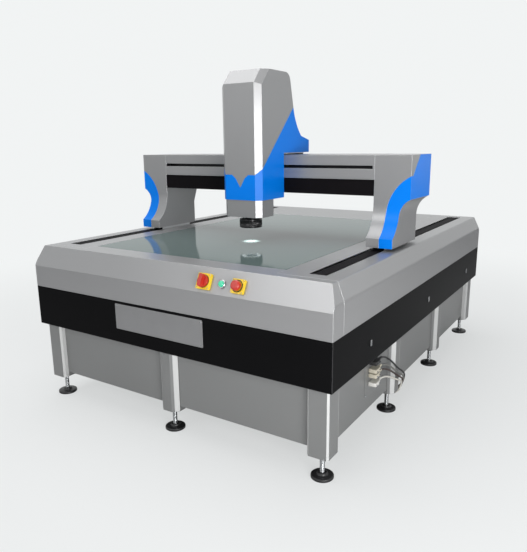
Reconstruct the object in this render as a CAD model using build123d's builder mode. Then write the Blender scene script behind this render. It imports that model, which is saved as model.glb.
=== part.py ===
from build123d import *
import os
from math import pi, radians, tan

# Gantry vision measuring machine: a glass stage on a covered granite bed, a bridge that runs along Y
# in two slots, and a saddle on the bridge that carries the camera head along X and Z.
# Millimetres, +Z up, origin on the floor at the middle of the base, -Y to the operator.

# Base heights, stacked from the floor up
FOOT_H = 98.0
CABINET_H = 279.0
SKIRT_H = 191.0
COVER_H = 195.0
PANEL_GAP = 24.0

# Base plan
BASE_W = 1600.0
BASE_D = 2120.0
POST_INSET = 22.0
CORNER_POST = 90.0
MIDDLE_POST_W = 100.0
MIDDLE_POST_DEPTH = 70.0
POST_CHAMFER = 25.0
CORNER_CHAMFER = 8.0
POST_WALL = 4.0
POST_FLOOR = 10.0
PANEL_RECESS = 27.0
PANEL_T = 18.0
PANEL_SHEET = 2.0

# Levelling feet
PAD_D = 90.0
PAD_H = 16.0
STUD_D = 20.0
STUD_GRIP = 36.0
NUT_AF = 30.0
NUT_H = 16.0
STUD_CLEAR = 0.3

# Top covers
SHEET = 3.0
FRONT_BEVEL_IN = 45.0
FRONT_BEVEL_H = 93.0
SIDE_BEND_IN = 26.0
SIDE_BEND_H = 74.0
SIDE_BEND_R = 40.0
SIDE_FOLD_R = 9.0
COVER_SEAM = 86.0
SEAM = 1.5

# Stage
GLASS_T = 15.0
GLASS_SIDE = 103.0
GLASS_FRONT = 153.0
GLASS_REAR = 473.0
GLASS_GAP = 1.0
STAGE_LEDGE = 40.0
STAGE_RIM = 30.0
BACKLIGHT_T = 20.0
BACKLIGHT_GAP = 6.0

# Slots for the gantry legs and their cover bands
SLOT_INSET = 133.5
SLOT_W = 75.0
SLOT_FRONT = 140.0
SLOT_REAR = 104.0
BAND_W = 51.0
BAND_T = 1.5
BAND_LAP = 30.0

# Base frame and granite bed
FRAME_H = 103.0
FRAME_RAIL = 80.0
BED_MARGIN_X = 70.0
BED_MARGIN_Y = 60.0
BED_H = 180.0

# Guides: rail width and height, and the running gap in a bearing block
GAP = 0.3
Y_RAIL_W = 30.0
Y_RAIL_H = 26.0
Y_BLOCK = (70.0, 100.0, 32.0)
Y_BLOCK_LIFT = 8.0
X_RAIL_W = 20.0
X_RAIL_H = 16.0
X_BLOCK = (70.0, 44.0, 28.0)
X_BLOCK_LIFT = 4.0
Z_RAIL_W = 15.0
Z_RAIL_H = 12.0
Z_BLOCK = (34.0, 40.0, 20.0)
Z_BLOCK_LIFT = 4.0

# Linear motors
MAGNET_W = 34.0
MAGNET_T = 14.0
MAGNET_CLEAR = 4.0
X_MAGNET_W = 24.0
AIR_GAP = 1.0
COIL_L = 180.0
Y_TRACK_INSET = 84.0

# Gantry legs: outer limits of the right leg, front at the top
GANTRY_FRONT = -295.0
GANTRY_DEPTH = 270.0
GANTRY_H = 414.0
LEG_INSET = 44.5
LEG_W = 122.0
LEG_OVERHANG = 47.0
LEG_GAP = 12.0
LEG_WALL = 4.0
LEG_OVERHANG_H = 210.0
LEG_HOLLOW_H = 74.0
LEG_TOE = 77.0
LEG_TOE_H = 42.0
LEG_TOE_RISE = 138.0
LEG_HEEL = 33.0
LEG_HEEL_H = 85.0
TRIM_IN = 61.0
TRIM_H = 135.0
TRIM_DROP = 90.0
TRIM_SIDE_RUN = 90.0
TRIM_SIDE_FRONT = 25.0
NECK_T = 8.0
NECK_CLEAR = 2.0
CARRIAGE_T = 16.0
CARRIAGE_END = 32.0
COLUMN_BASE_T = 16.0
COLUMN_WALL = 12.0
COLUMN_CLEAR = 6.0
COLUMN_SETBACK = 15.0

# Beam
BEAM_H = 182.0
BEAM_STEP = 109.0
BEAM_COVER_GAP = 27.0
BEAM_LIP = 5.0
BEAM_FRONT_SETBACK = 55.0
BEAM_WALL = 22.0
BEAM_SLOT_DROP = 62.0
BEAM_SLOT_H = 15.0
BEAM_END = 18.0
TOP_RAIL_INSET = 60.0
TOP_SLOT_W = 60.0

# Camera column and saddle
COLUMN_X = 43.0
COLUMN_W = 220.0
COLUMN_REACH = 220.0
COLUMN_D = 311.0
COLUMN_LEAN = 38.0
COLUMN_CHAMFER = 26.0
COLUMN_H = 385.0
COLUMN_BEVEL_IN = 55.0
COLUMN_BEVEL_H = 62.0
COLUMN_REAR_R = 45.0
SADDLE_DROP = 205.0
SADDLE_GAP = 2.0
EAR_END = 18.0
EAR_H = 61.0
EAR_GAP = 10.0
EAR_SLOPE_RUN = 82.0
EAR_SLOPE_H = 20.0
EAR_CURVE_H = 154.0
SPLIT_H = 118.0
SPLIT_ABOVE = 3.0
NOTCH_W = 92.0
NOTCH_DROP = 59.0
PLATE_T = 25.0
PLATE_LIFT = 13.0
PLATE_BELOW_TOP = 102.0
WEB_T = 9.0
WEB_HALF = 90.0
INNER_FLANGE_T = 12.0
ARM_T = 16.0

# Z axis, at rest
Z_SCREW_D = 12.0
Z_JOURNAL_D = 8.0
FIT = 0.05
Z_RAIL_X = 60.0
Z_SLIDE_T = 12.0
Z_SLIDE_LIFT = 45.0
Z_SLIDE_H = 250.0
SUPPORT_H = 18.0
Z_MOTOR_W = 40.0
Z_MOTOR_H = 70.0
SLEEVE_H = 210.0
SLEEVE_CLEAR = 2.0
SLEEVE_DEPTH = 122.0
LENS_INSET = 85.0
LENS_D = 48.0
LENS_HOLE = 56.0
LENS_RECESS = 10.0
LENS_L = 276.0
CAMERA_W = 44.0
CAMERA_H = 62.0
ARM_LIFT = 160.0
ARM_H = 26.0
RING_D = 110.0
RING_IN = 66.0
RING_LIFT = 71.0
RING_H = 44.0
RING_COLLAR_D = 78.0
RING_COLLAR_H = 12.0

# Controls on the front bevel, by their place along X
SWITCH_X = 238.0
PILOT_X = 321.0
ESTOP_X = 401.0
CONTROL_DROP = 8.0
PLATE_W = 64.0
SWITCH_PLATE_T = 12.0
SWITCH_SHAFT_D = 12.0
KNOB_D = 48.0
KNOB_BASE_H = 10.0
KNOB_GRIP = (18.0, 54.0, 16.0)
PILOT_D = 34.0
PILOT_H = 7.0
PILOT_LENS_D = 25.0
ESTOP_W = 56.0
ESTOP_H = 13.0
ESTOP_STEM_D = 20.0
ESTOP_TRAVEL = 5.0
ESTOP_HEAD_D = 40.0
ESTOP_HEAD_H = 18.0
CONTROL_FIT = 0.1

# Connectors on the right side, and the control box behind them
LATCH_INSET = 335.0
LATCH_ENDS = 630.0
LATCH_LIFT = 88.0
LATCH_SIZE = (6.0, 14.0, 26.0)
CONNECTOR_INSET = 471.0
CONNECTOR_PLATE = (3.0, 120.0, 176.0)
CONNECTOR_DROP = 101.0
PLUG_ROWS = (59.0, 24.0, 2.0, -36.0)
PLUG = (36.0, 60.0, 18.0)
CABLE_D = 8.0
LANE_STEP = 14.0
LANE_DROP = 6.0
CABLE_RISE = 38.0
PASS_RISE = 64.0
DROP_REACH = 34.0
POST_PASS = 17.0
BOX_SIZE = (200.0, 260.0, 130.0)
BOX_INSET = 220.0
BOX_SHIFT = 81.0
BOX_WALL = 2.0

# Places that follow from the sizes above, in the base
SKIRT_Z = FOOT_H + CABINET_H
COVER_Z = SKIRT_Z + SKIRT_H
TABLE_Z = COVER_Z + COVER_H
HALF_W = BASE_W / 2
HALF_D = BASE_D / 2
FRAME_TOP = SKIRT_Z + FRAME_H
BED_TOP = FRAME_TOP + BED_H
BED_W = BASE_W - 2 * BED_MARGIN_X
BED_D = BASE_D - 2 * BED_MARGIN_Y
SLOT_X = HALF_W - SLOT_INSET
SLOT_Y0 = -HALF_D + SLOT_FRONT
SLOT_Y1 = HALF_D - SLOT_REAR
GLASS_W = 2 * (SLOT_X - SLOT_W / 2 - GLASS_SIDE)
GLASS_Y0 = -HALF_D + GLASS_FRONT
GLASS_Y1 = HALF_D - GLASS_REAR
FOOT_X = HALF_W - POST_INSET - CORNER_POST / 2
FOOT_Y = HALF_D - POST_INSET - CORNER_POST / 2
LATCH_FRONT = -HALF_D + LATCH_INSET
LATCH_PITCH = (BASE_D - LATCH_ENDS) / 2
LATCH_Z = SKIRT_Z + LATCH_LIFT
CONNECTOR_Y = -HALF_D + CONNECTOR_INSET
CONNECTOR_Z = SKIRT_Z - CONNECTOR_DROP
BOX_X = HALF_W - BOX_INSET

# Places in the gantry
GANTRY_TOP = TABLE_Z + GANTRY_H
GANTRY_REAR = GANTRY_FRONT + GANTRY_DEPTH
LEG_BOTTOM = TABLE_Z + LEG_GAP
LEG_FRONT = GANTRY_FRONT - LEG_TOE
LEG_REAR = GANTRY_REAR - LEG_HEEL
LEG_IN = SLOT_X - LEG_INSET
LEG_LOW_OUT = LEG_IN + LEG_W
LEG_OUT = LEG_LOW_OUT + LEG_OVERHANG
LEG_OVERHANG_Z = LEG_BOTTOM + LEG_OVERHANG_H
LEG_HOLLOW_Z = LEG_OVERHANG_Z - LEG_HOLLOW_H
LEG_HEEL_Z = LEG_OVERHANG_Z - LEG_HEEL_H
TRIM_X = LEG_IN + TRIM_IN
TRIM_Z = LEG_BOTTOM + TRIM_H
TRIM_TOP = GANTRY_TOP - TRIM_DROP
BEAM_BOTTOM = GANTRY_TOP - BEAM_H
BEAM_STEP_Z = GANTRY_TOP - BEAM_STEP
BEAM_TOP = GANTRY_TOP - BEAM_COVER_GAP
BEAM_SLOT_Z = GANTRY_TOP - BEAM_SLOT_DROP
TOP_RAIL_Y = GANTRY_REAR - TOP_RAIL_INSET

# Places in the saddle, the column and the camera head
COLUMN_FRONT = GANTRY_FRONT - COLUMN_REACH
COLUMN_REAR = COLUMN_FRONT + COLUMN_D
COLUMN_TOP = GANTRY_TOP + COLUMN_H
SADDLE_BOTTOM = GANTRY_TOP - SADDLE_DROP
SADDLE_REAR = GANTRY_FRONT - SADDLE_GAP
EAR_REAR = GANTRY_REAR - EAR_END
EAR_BOTTOM = GANTRY_TOP + EAR_GAP
EAR_TOP = EAR_BOTTOM + EAR_H
EAR_CURVE_TOP = EAR_TOP + EAR_CURVE_H
SPLIT_FRONT_Z = SADDLE_BOTTOM + SPLIT_H
SPLIT_REAR_Z = EAR_CURVE_TOP + SPLIT_ABOVE
INNER_W = COLUMN_W / 2 - SHEET
PLATE_REAR = GANTRY_FRONT - BEAM_LIP
PLATE_FRONT = PLATE_REAR - PLATE_T
PLATE_BOTTOM = SADDLE_BOTTOM + PLATE_LIFT
PLATE_TOP = COLUMN_TOP - PLATE_BELOW_TOP
Z_SLIDE_BOTTOM = PLATE_BOTTOM + Z_SLIDE_LIFT
Z_SLIDE_TOP = Z_SLIDE_BOTTOM + Z_SLIDE_H
RING_BOTTOM = TABLE_Z + RING_LIFT
SLEEVE_BOTTOM = RING_BOTTOM + RING_H + RING_COLLAR_H
SLEEVE_TOP = SLEEVE_BOTTOM + SLEEVE_H
ARM_Z = SLEEVE_BOTTOM + ARM_LIFT
LENS_Y = COLUMN_FRONT + LENS_INSET
LENS_BOTTOM = RING_BOTTOM + LENS_RECESS
LENS_TOP = LENS_BOTTOM + LENS_L

os.makedirs("parts", exist_ok=True)


def block(x, y, z, mode=Mode.ADD):
    """A box between two limits on each axis, added to the part being built."""
    with Locations(((x[0] + x[1]) / 2, (y[0] + y[1]) / 2, (z[0] + z[1]) / 2)):
        Box(x[1] - x[0], y[1] - y[0], z[1] - z[0], mode=mode)


def mid(centre, size):
    """The two limits of a size about its centre."""
    return (centre - size / 2, centre + size / 2)


def save(built, name):
    """Labels a finished piece and writes it under its own name."""
    built.part.label = name
    export_step(built.part, f"parts/{name}.step")


# Ten levelling feet: four corners, the middle of the front and rear, and two along each side
side_rows = (-FOOT_Y / 3, FOOT_Y / 3)
corner_feet = [(sx * FOOT_X, sy * FOOT_Y) for sx in (-1, 1) for sy in (-1, 1)]
end_feet = [(0, -FOOT_Y), (0, FOOT_Y)]
side_feet = [(sx * FOOT_X, y) for sx in (-1, 1) for y in side_rows]
feet = corner_feet + end_feet + side_feet

with BuildPart() as foot_pads:
    with BuildSketch():
        with Locations(*feet):
            Circle(PAD_D / 2)
    extrude(amount=PAD_H, taper=14)
    with BuildSketch(Plane.XY.offset(PAD_H / 2)):
        with Locations(*feet):
            Circle(STUD_D / 2 + STUD_CLEAR)
    extrude(amount=PAD_H, mode=Mode.SUBTRACT)
save(foot_pads, "foot_pads")

with BuildPart() as foot_studs:
    with BuildSketch(Plane.XY.offset(PAD_H / 2)):
        with Locations(*feet):
            Circle(STUD_D / 2)
    extrude(amount=FOOT_H + STUD_GRIP - PAD_H / 2)
save(foot_studs, "foot_studs")

with BuildPart() as foot_nuts:
    with BuildSketch(Plane.XY.offset(FOOT_H - NUT_H)):
        with Locations(*feet):
            RegularPolygon(NUT_AF / 2, 6, major_radius=False)
            Circle(STUD_D / 2 + STUD_CLEAR, mode=Mode.SUBTRACT)
    extrude(amount=NUT_H)
save(foot_nuts, "foot_nuts")

# Leg posts: square tubes at the corners, and between them folded posts with broad chamfers
with BuildPart() as leg_posts:
    for x, y in corner_feet:
        block(mid(x, CORNER_POST), mid(y, CORNER_POST), (FOOT_H, SKIRT_Z))
    chamfer(leg_posts.edges().filter_by(Axis.Z), CORNER_CHAMFER)
    for x, y in corner_feet:
        core = CORNER_POST - 2 * POST_WALL
        block(mid(x, core), mid(y, core), (FOOT_H + POST_FLOOR, SKIRT_Z), Mode.SUBTRACT)
    for x, y in end_feet + side_feet:
        across = Vector(1, 0) if x == 0 else Vector(0, 1)
        outward = Vector(0, 1 if y > 0 else -1) if x == 0 else Vector(1 if x > 0 else -1, 0)
        face = outward * (CORNER_POST / 2) + Vector(x, y)
        back = face - outward * MIDDLE_POST_DEPTH
        shoulder = face - outward * POST_CHAMFER
        wide = across * (MIDDLE_POST_W / 2)
        narrow = across * (MIDDLE_POST_W / 2 - POST_CHAMFER)
        with BuildSketch(Plane.XY.offset(FOOT_H)):
            with BuildLine():
                Polyline(back - wide, shoulder - wide, face - narrow, face + narrow,
                         shoulder + wide, back + wide, close=True)
            make_face()
        extrude(amount=CABINET_H)
    with BuildSketch(Plane.XY.offset(FOOT_H)):
        with Locations(*feet):
            Circle(STUD_D / 2 + STUD_CLEAR)
    extrude(amount=STUD_GRIP + POST_FLOOR, mode=Mode.SUBTRACT)
save(leg_posts, "leg_posts")

# Cabinet panels: folded trays between the posts, set back from the posts' faces
panel_z = (FOOT_H + PANEL_GAP, SKIRT_Z)
panel_x = HALF_W - POST_INSET - PANEL_RECESS
panel_y = HALF_D - POST_INSET - PANEL_RECESS
end_bays = [(-FOOT_X + CORNER_POST / 2, -MIDDLE_POST_W / 2), (MIDDLE_POST_W / 2, FOOT_X - CORNER_POST / 2)]
side_stops = [-FOOT_Y + CORNER_POST / 2]
for row in side_rows:
    side_stops += [row - MIDDLE_POST_W / 2, row + MIDDLE_POST_W / 2]
side_stops += [FOOT_Y - CORNER_POST / 2]
side_bays = list(zip(side_stops[0::2], side_stops[1::2]))
tray_z = (panel_z[0] + PANEL_SHEET, panel_z[1] - PANEL_SHEET)
with BuildPart() as cabinet_panels:
    for side in (-1, 1):
        outer = sorted((side * panel_y, side * (panel_y - PANEL_T)))
        inner = sorted((side * (panel_y - PANEL_SHEET), side * (panel_y - PANEL_T)))
        for bay in end_bays:
            span = (bay[0] + GAP, bay[1] - GAP)
            block(span, outer, panel_z)
            block((span[0] + PANEL_SHEET, span[1] - PANEL_SHEET), inner, tray_z, Mode.SUBTRACT)
        outer = sorted((side * panel_x, side * (panel_x - PANEL_T)))
        inner = sorted((side * (panel_x - PANEL_SHEET), side * (panel_x - PANEL_T)))
        for bay in side_bays:
            span = (bay[0] + GAP, bay[1] - GAP)
            block(outer, span, panel_z)
            block(inner, (span[0] + PANEL_SHEET, span[1] - PANEL_SHEET), tray_z, Mode.SUBTRACT)
save(cabinet_panels, "cabinet_panels")

# Base frame: square-section members butted together, two ends, two sides and three cross beams
frame_z = (SKIRT_Z, FRAME_TOP)
frame_x = HALF_W - SHEET
frame_y = HALF_D - SHEET
inside_x = frame_x - FRAME_RAIL
inside_y = frame_y - FRAME_RAIL
with BuildPart() as base_frame:
    for side in (-1, 1):
        block((-frame_x, frame_x), sorted((side * frame_y, side * inside_y)), frame_z)
        block(sorted((side * frame_x, side * inside_x)), (-inside_y + GAP, inside_y - GAP), frame_z)
    for y in (side_rows[0], 0, side_rows[1]):
        block((-inside_x + GAP, inside_x - GAP), mid(y, FRAME_RAIL), frame_z)
save(base_frame, "base_frame")

# Skirt: the front sheet runs the full width, the rear and side sheets close the ring behind it
skirt_z = (SKIRT_Z, COVER_Z)
with BuildPart() as front_skirt:
    block((-HALF_W, HALF_W), (-HALF_D, -HALF_D + SHEET), skirt_z)
save(front_skirt, "front_skirt")

with BuildPart() as skirt_panels:
    block((-HALF_W, HALF_W), (HALF_D - SHEET, HALF_D), skirt_z)
    for side in (-1, 1):
        edge = sorted((side * HALF_W, side * (HALF_W - SHEET)))
        block(edge, (-HALF_D + SHEET + GAP, HALF_D - SHEET - GAP), skirt_z)
save(skirt_panels, "skirt_panels")

# Quarter-turn latches on both side skirts
with BuildPart() as skirt_latches:
    for side in (-1, 1):
        for count in range(3):
            y = LATCH_FRONT + count * LATCH_PITCH
            reach = sorted((side * HALF_W, side * (HALF_W + LATCH_SIZE[0])))
            block(reach, mid(y, LATCH_SIZE[1]), mid(LATCH_Z, LATCH_SIZE[2]))
    fillet(skirt_latches.edges().filter_by(Axis.X), LATCH_SIZE[1] * 0.3)
save(skirt_latches, "skirt_latches")

# Granite bed on the frame
with BuildPart() as granite_bed:
    block(mid(0, BED_W), mid(0, BED_D), (FRAME_TOP, BED_TOP))
    chamfer(granite_bed.edges(), 4)
save(granite_bed, "granite_bed")

# Stage frame: a rebated ring on the bed that carries the glass and the covers' inner edges
rim_x = GLASS_W / 2 + STAGE_RIM
ledge_x = GLASS_W / 2 - STAGE_LEDGE
with BuildPart() as stage_frame:
    block((-rim_x, rim_x), (GLASS_Y0 - STAGE_RIM, GLASS_Y1 + STAGE_RIM), (BED_TOP, TABLE_Z - SHEET))
    block((-ledge_x, ledge_x), (GLASS_Y0 + STAGE_LEDGE, GLASS_Y1 - STAGE_LEDGE), (BED_TOP, TABLE_Z),
          Mode.SUBTRACT)
    block(mid(0, GLASS_W + 2 * GLASS_GAP), (GLASS_Y0 - GLASS_GAP, GLASS_Y1 + GLASS_GAP),
          (TABLE_Z - GLASS_T, TABLE_Z), Mode.SUBTRACT)
save(stage_frame, "stage_frame")

with BuildPart() as stage_glass:
    block(mid(0, GLASS_W), (GLASS_Y0, GLASS_Y1), (TABLE_Z - GLASS_T, TABLE_Z))
    chamfer(stage_glass.edges().group_by(Axis.Z)[-1], 1.5)
save(stage_glass, "stage_glass")

light_x = ledge_x - BACKLIGHT_GAP
light_y = (GLASS_Y0 + STAGE_LEDGE + BACKLIGHT_GAP, GLASS_Y1 - STAGE_LEDGE - BACKLIGHT_GAP)
with BuildPart() as backlight_panel:
    block((-light_x, light_x), light_y, (BED_TOP, BED_TOP + BACKLIGHT_T))
save(backlight_panel, "backlight_panel")

# Top covers: one bent-sheet hood, bevelled in front and behind and softly bent along the sides,
# cut into a front, a rear and two side covers
low = COVER_Z - 2 * SHEET
bevel_z = TABLE_Z - FRONT_BEVEL_H
bend_z = TABLE_Z - SIDE_BEND_H
hoods = []
for bottom, wall in ((COVER_Z, 0), (low, SHEET)):
    with BuildPart() as hood:
        with BuildSketch(Plane.YZ.offset(-HALF_W)):
            with BuildLine():
                Polyline((-HALF_D, bottom), (-HALF_D, bevel_z), (-HALF_D + FRONT_BEVEL_IN, TABLE_Z),
                         (HALF_D - FRONT_BEVEL_IN, TABLE_Z), (HALF_D, bevel_z), (HALF_D, bottom), close=True)
            make_face()
            if wall:
                offset(amount=-wall, kind=Kind.INTERSECTION)
        extrude(amount=BASE_W)
        with BuildSketch(Plane.XZ.offset(-HALF_D)) as bend_profile:
            with BuildLine():
                Polyline((-HALF_W, bottom), (-HALF_W, bend_z), (-HALF_W + SIDE_BEND_IN, TABLE_Z),
                         (HALF_W - SIDE_BEND_IN, TABLE_Z), (HALF_W, bend_z), (HALF_W, bottom), close=True)
            make_face()
            fillet(bend_profile.vertices().filter_by(lambda v: abs(v.Y - bend_z) < 1), SIDE_BEND_R)
            fillet(bend_profile.vertices().filter_by(lambda v: abs(v.X) < HALF_W - SIDE_BEND_IN + 1), SIDE_FOLD_R)
            if wall:
                offset(amount=-wall, kind=Kind.INTERSECTION)
        extrude(amount=BASE_D, mode=Mode.INTERSECT)
    hoods.append(hood.part)
hood_outer, hood_inner = hoods

window_x = GLASS_W / 2 + GLASS_GAP
seam_y = HALF_D - COVER_SEAM
far = BASE_D
with BuildPart() as front_cover:
    add(hood_outer)
    add(hood_inner, mode=Mode.SUBTRACT)
    block((-far, far), (GLASS_Y0 - GLASS_GAP, far), (0, far), Mode.SUBTRACT)
    for side in (-1, 1):
        beside = sorted((side * (window_x - SEAM), side * far))
        block(beside, (-seam_y, far), (0, far), Mode.SUBTRACT)
save(front_cover, "front_cover")

with BuildPart() as rear_cover:
    add(hood_outer)
    add(hood_inner, mode=Mode.SUBTRACT)
    block((-far, far), (-far, GLASS_Y1 + GLASS_GAP), (0, far), Mode.SUBTRACT)
    for side in (-1, 1):
        beside = sorted((side * (window_x - SEAM), side * far))
        block(beside, (-far, seam_y), (0, far), Mode.SUBTRACT)
save(rear_cover, "rear_cover")

with BuildPart() as right_cover:
    add(hood_outer)
    add(hood_inner, mode=Mode.SUBTRACT)
    block((window_x, far), (-seam_y + SEAM, seam_y - SEAM), (0, far), Mode.INTERSECT)
    block(mid(SLOT_X, SLOT_W), (SLOT_Y0, SLOT_Y1), (COVER_Z, TABLE_Z + SHEET), Mode.SUBTRACT)
save(right_cover, "right_cover")

with BuildPart() as left_cover:
    mirror(right_cover.part, about=Plane.YZ)
save(left_cover, "left_cover")

# Cover bands: steel strips under tension along the slots, fixed below the covers at both ends
band_top = TABLE_Z - SHEET
with BuildPart() as slot_bands:
    for side in (-1, 1):
        block(mid(side * SLOT_X, BAND_W), (SLOT_Y0 - BAND_LAP, SLOT_Y1 + BAND_LAP), (band_top - BAND_T, band_top))
save(slot_bands, "slot_bands")

# Y guide rails and the magnet tracks inboard of them
track_x = SLOT_X - Y_TRACK_INSET
with BuildPart() as y_rails:
    for side in (-1, 1):
        block(mid(side * SLOT_X, Y_RAIL_W), (SLOT_Y0 - BAND_LAP, SLOT_Y1), (BED_TOP, BED_TOP + Y_RAIL_H))
    chamfer(y_rails.edges().filter_by(Axis.Y).group_by(Axis.Z)[-1], 3)
save(y_rails, "y_rails")

with BuildPart() as y_motor_tracks:
    for side in (-1, 1):
        block(mid(side * track_x, MAGNET_W), (SLOT_Y0, SLOT_Y1), (BED_TOP, BED_TOP + MAGNET_T))
save(y_motor_tracks, "y_motor_tracks")

# Y carriages: a plate on the bearing blocks, and two necks that pass each side of the cover band
block_top = BED_TOP + Y_BLOCK_LIFT + Y_BLOCK[2]
plate_y = (LEG_FRONT + CARRIAGE_END, LEG_REAR - CARRIAGE_END)
neck_y = (plate_y[0] + NECK_T, plate_y[1] - NECK_T)
neck_x = SLOT_W / 2 - NECK_CLEAR
with BuildPart() as y_carriages:
    plate_x = (track_x - MAGNET_W / 2, SLOT_X + Y_BLOCK[0] / 2 + NECK_T)
    block(plate_x, plate_y, (block_top, block_top + CARRIAGE_T))
    for near, end in ((-neck_x, -neck_x + NECK_T), (neck_x - NECK_T, neck_x)):
        block((SLOT_X + near, SLOT_X + end), neck_y, (block_top + CARRIAGE_T, LEG_BOTTOM))
    mirror(about=Plane.YZ)
save(y_carriages, "y_carriages")

with BuildPart() as y_blocks:
    for y in (plate_y[0] + Y_BLOCK[1] / 2, plate_y[1] - Y_BLOCK[1] / 2):
        block(mid(SLOT_X, Y_BLOCK[0]), mid(y, Y_BLOCK[1]), (BED_TOP + Y_BLOCK_LIFT, block_top))
        block(mid(SLOT_X, Y_RAIL_W + 2 * GAP), mid(y, Y_BLOCK[1]), (BED_TOP, BED_TOP + Y_RAIL_H + GAP),
              Mode.SUBTRACT)
    mirror(about=Plane.YZ)
save(y_blocks, "y_blocks")

with BuildPart() as y_motor_coils:
    block(mid(track_x, MAGNET_W - MAGNET_CLEAR), mid(sum(plate_y) / 2, COIL_L),
          (BED_TOP + MAGNET_T + AIR_GAP, block_top))
    mirror(about=Plane.YZ)
save(y_motor_coils, "y_motor_coils")

# Leg columns: pocketed castings that stand on the necks and take the beam's ends
beam_end = LEG_IN + BEAM_END
column_x = (beam_end, LEG_LOW_OUT - LEG_WALL - COLUMN_CLEAR)
column_y = (GANTRY_FRONT + COLUMN_SETBACK, plate_y[1] - NECK_T)
with BuildPart() as leg_columns:
    block((LEG_IN + LEG_WALL, LEG_LOW_OUT - LEG_WALL), plate_y, (LEG_BOTTOM, LEG_BOTTOM + COLUMN_BASE_T))
    block(column_x, column_y, (LEG_BOTTOM, BEAM_TOP))
    block((column_x[0] + COLUMN_WALL, column_x[1]), (column_y[0] + COLUMN_WALL, column_y[1] - COLUMN_WALL),
          (LEG_BOTTOM + COLUMN_BASE_T, BEAM_TOP - COLUMN_WALL), Mode.SUBTRACT)
    mirror(about=Plane.YZ)
save(leg_columns, "leg_columns")

# Leg shells: the front outline and the side outline, each carried through the leg and intersected
shells = []
for bottom, wall in ((LEG_BOTTOM, 0), (LEG_BOTTOM - 2 * LEG_WALL, LEG_WALL)):
    with BuildPart() as shell:
        with BuildSketch(Plane.XZ.offset(-GANTRY_REAR)):
            with BuildLine():
                low_out = LEG_LOW_OUT - wall
                lip = (LEG_OUT - wall, LEG_OVERHANG_Z + wall)
                Polyline((low_out, LEG_HOLLOW_Z), (low_out, bottom), (LEG_IN + wall, bottom),
                         (LEG_IN + wall, GANTRY_TOP - wall), (LEG_OUT - wall, GANTRY_TOP - wall), lip)
                TangentArc((low_out, LEG_HOLLOW_Z), lip, tangent=(0, 1))
            make_face()
        extrude(amount=GANTRY_REAR - LEG_FRONT)
        with BuildSketch(Plane.YZ.offset(LEG_IN)):
            with BuildLine():
                toe_z = LEG_BOTTOM + LEG_TOE_H
                front = GANTRY_FRONT + wall
                rear = GANTRY_REAR - wall
                toe = (front - LEG_TOE, toe_z)
                Polyline((front, toe_z + LEG_TOE_RISE), (front, GANTRY_TOP - wall), (rear, GANTRY_TOP - wall),
                         (rear, LEG_OVERHANG_Z), (rear - LEG_HEEL, LEG_HEEL_Z), (rear - LEG_HEEL, bottom),
                         (front - LEG_TOE, bottom), toe)
                TangentArc((front, toe_z + LEG_TOE_RISE), toe, tangent=(0, -1))
            make_face()
        extrude(amount=LEG_OUT - LEG_IN, mode=Mode.INTERSECT)
    shells.append(shell.part)
leg_outer, leg_inner = shells

beam_front = GANTRY_FRONT + BEAM_LIP
beam_back = GANTRY_REAR - SHEET
with BuildPart() as leg_shell:
    add(leg_outer)
    add(leg_inner, mode=Mode.SUBTRACT)
    block((LEG_IN - GAP, beam_end + GAP), (beam_front - GAP, beam_back + GAP),
          (BEAM_BOTTOM - GAP, BEAM_TOP + GAP), Mode.SUBTRACT)

# The trim's share of the shell: outside a sweeping curve on the front, behind a slant on the side,
# and below the overhang only the front wall
with BuildPart() as trim_region:
    with BuildSketch(Plane.XZ.offset(-GANTRY_REAR - LEG_WALL)):
        with BuildLine():
            Polyline((TRIM_X, TRIM_Z), (TRIM_X, LEG_BOTTOM - LEG_WALL),
                     (LEG_OUT + LEG_WALL, LEG_BOTTOM - LEG_WALL),
                     (LEG_OUT + LEG_WALL, TRIM_TOP), (LEG_OUT, TRIM_TOP))
            TangentArc((TRIM_X, TRIM_Z), (LEG_OUT, TRIM_TOP), tangent=(0, 1))
        make_face()
    extrude(amount=GANTRY_REAR - LEG_FRONT + 2 * LEG_WALL)
    with BuildSketch(Plane.YZ.offset(LEG_OUT - LEG_WALL)):
        with BuildLine():
            slant = GANTRY_FRONT + TRIM_SIDE_FRONT
            Polyline((slant, TRIM_TOP - LEG_WALL), (slant, TRIM_TOP),
                     (slant + TRIM_SIDE_RUN, GANTRY_TOP + LEG_WALL),
                     (GANTRY_REAR + LEG_WALL, GANTRY_TOP + LEG_WALL),
                     (GANTRY_REAR + LEG_WALL, TRIM_TOP - LEG_WALL),
                     close=True)
        make_face()
    extrude(amount=2 * LEG_WALL)
    with BuildSketch(Plane.YZ.offset(LEG_IN)):
        with BuildLine():
            back = GANTRY_FRONT + LEG_WALL
            toe = (back - LEG_TOE, LEG_BOTTOM + LEG_TOE_H)
            knee = (back, LEG_BOTTOM + LEG_TOE_H + LEG_TOE_RISE)
            Polyline(knee, (back, LEG_OVERHANG_Z), (GANTRY_REAR + 2 * LEG_WALL, LEG_OVERHANG_Z),
                     (GANTRY_REAR + 2 * LEG_WALL, LEG_BOTTOM - 2 * LEG_WALL),
                     (back - LEG_TOE, LEG_BOTTOM - 2 * LEG_WALL), toe)
            TangentArc(knee, toe, tangent=(0, -1))
        make_face()
    extrude(amount=LEG_OUT - LEG_IN + 2 * LEG_WALL, mode=Mode.SUBTRACT)

with BuildPart() as leg_covers:
    add(leg_shell.part)
    add(trim_region.part, mode=Mode.SUBTRACT)
    mirror(about=Plane.YZ)
save(leg_covers, "leg_covers")

with BuildPart() as leg_trims:
    add(leg_shell.part)
    add(trim_region.part, mode=Mode.INTERSECT)
    mirror(about=Plane.YZ)
save(leg_trims, "leg_trims")

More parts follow.
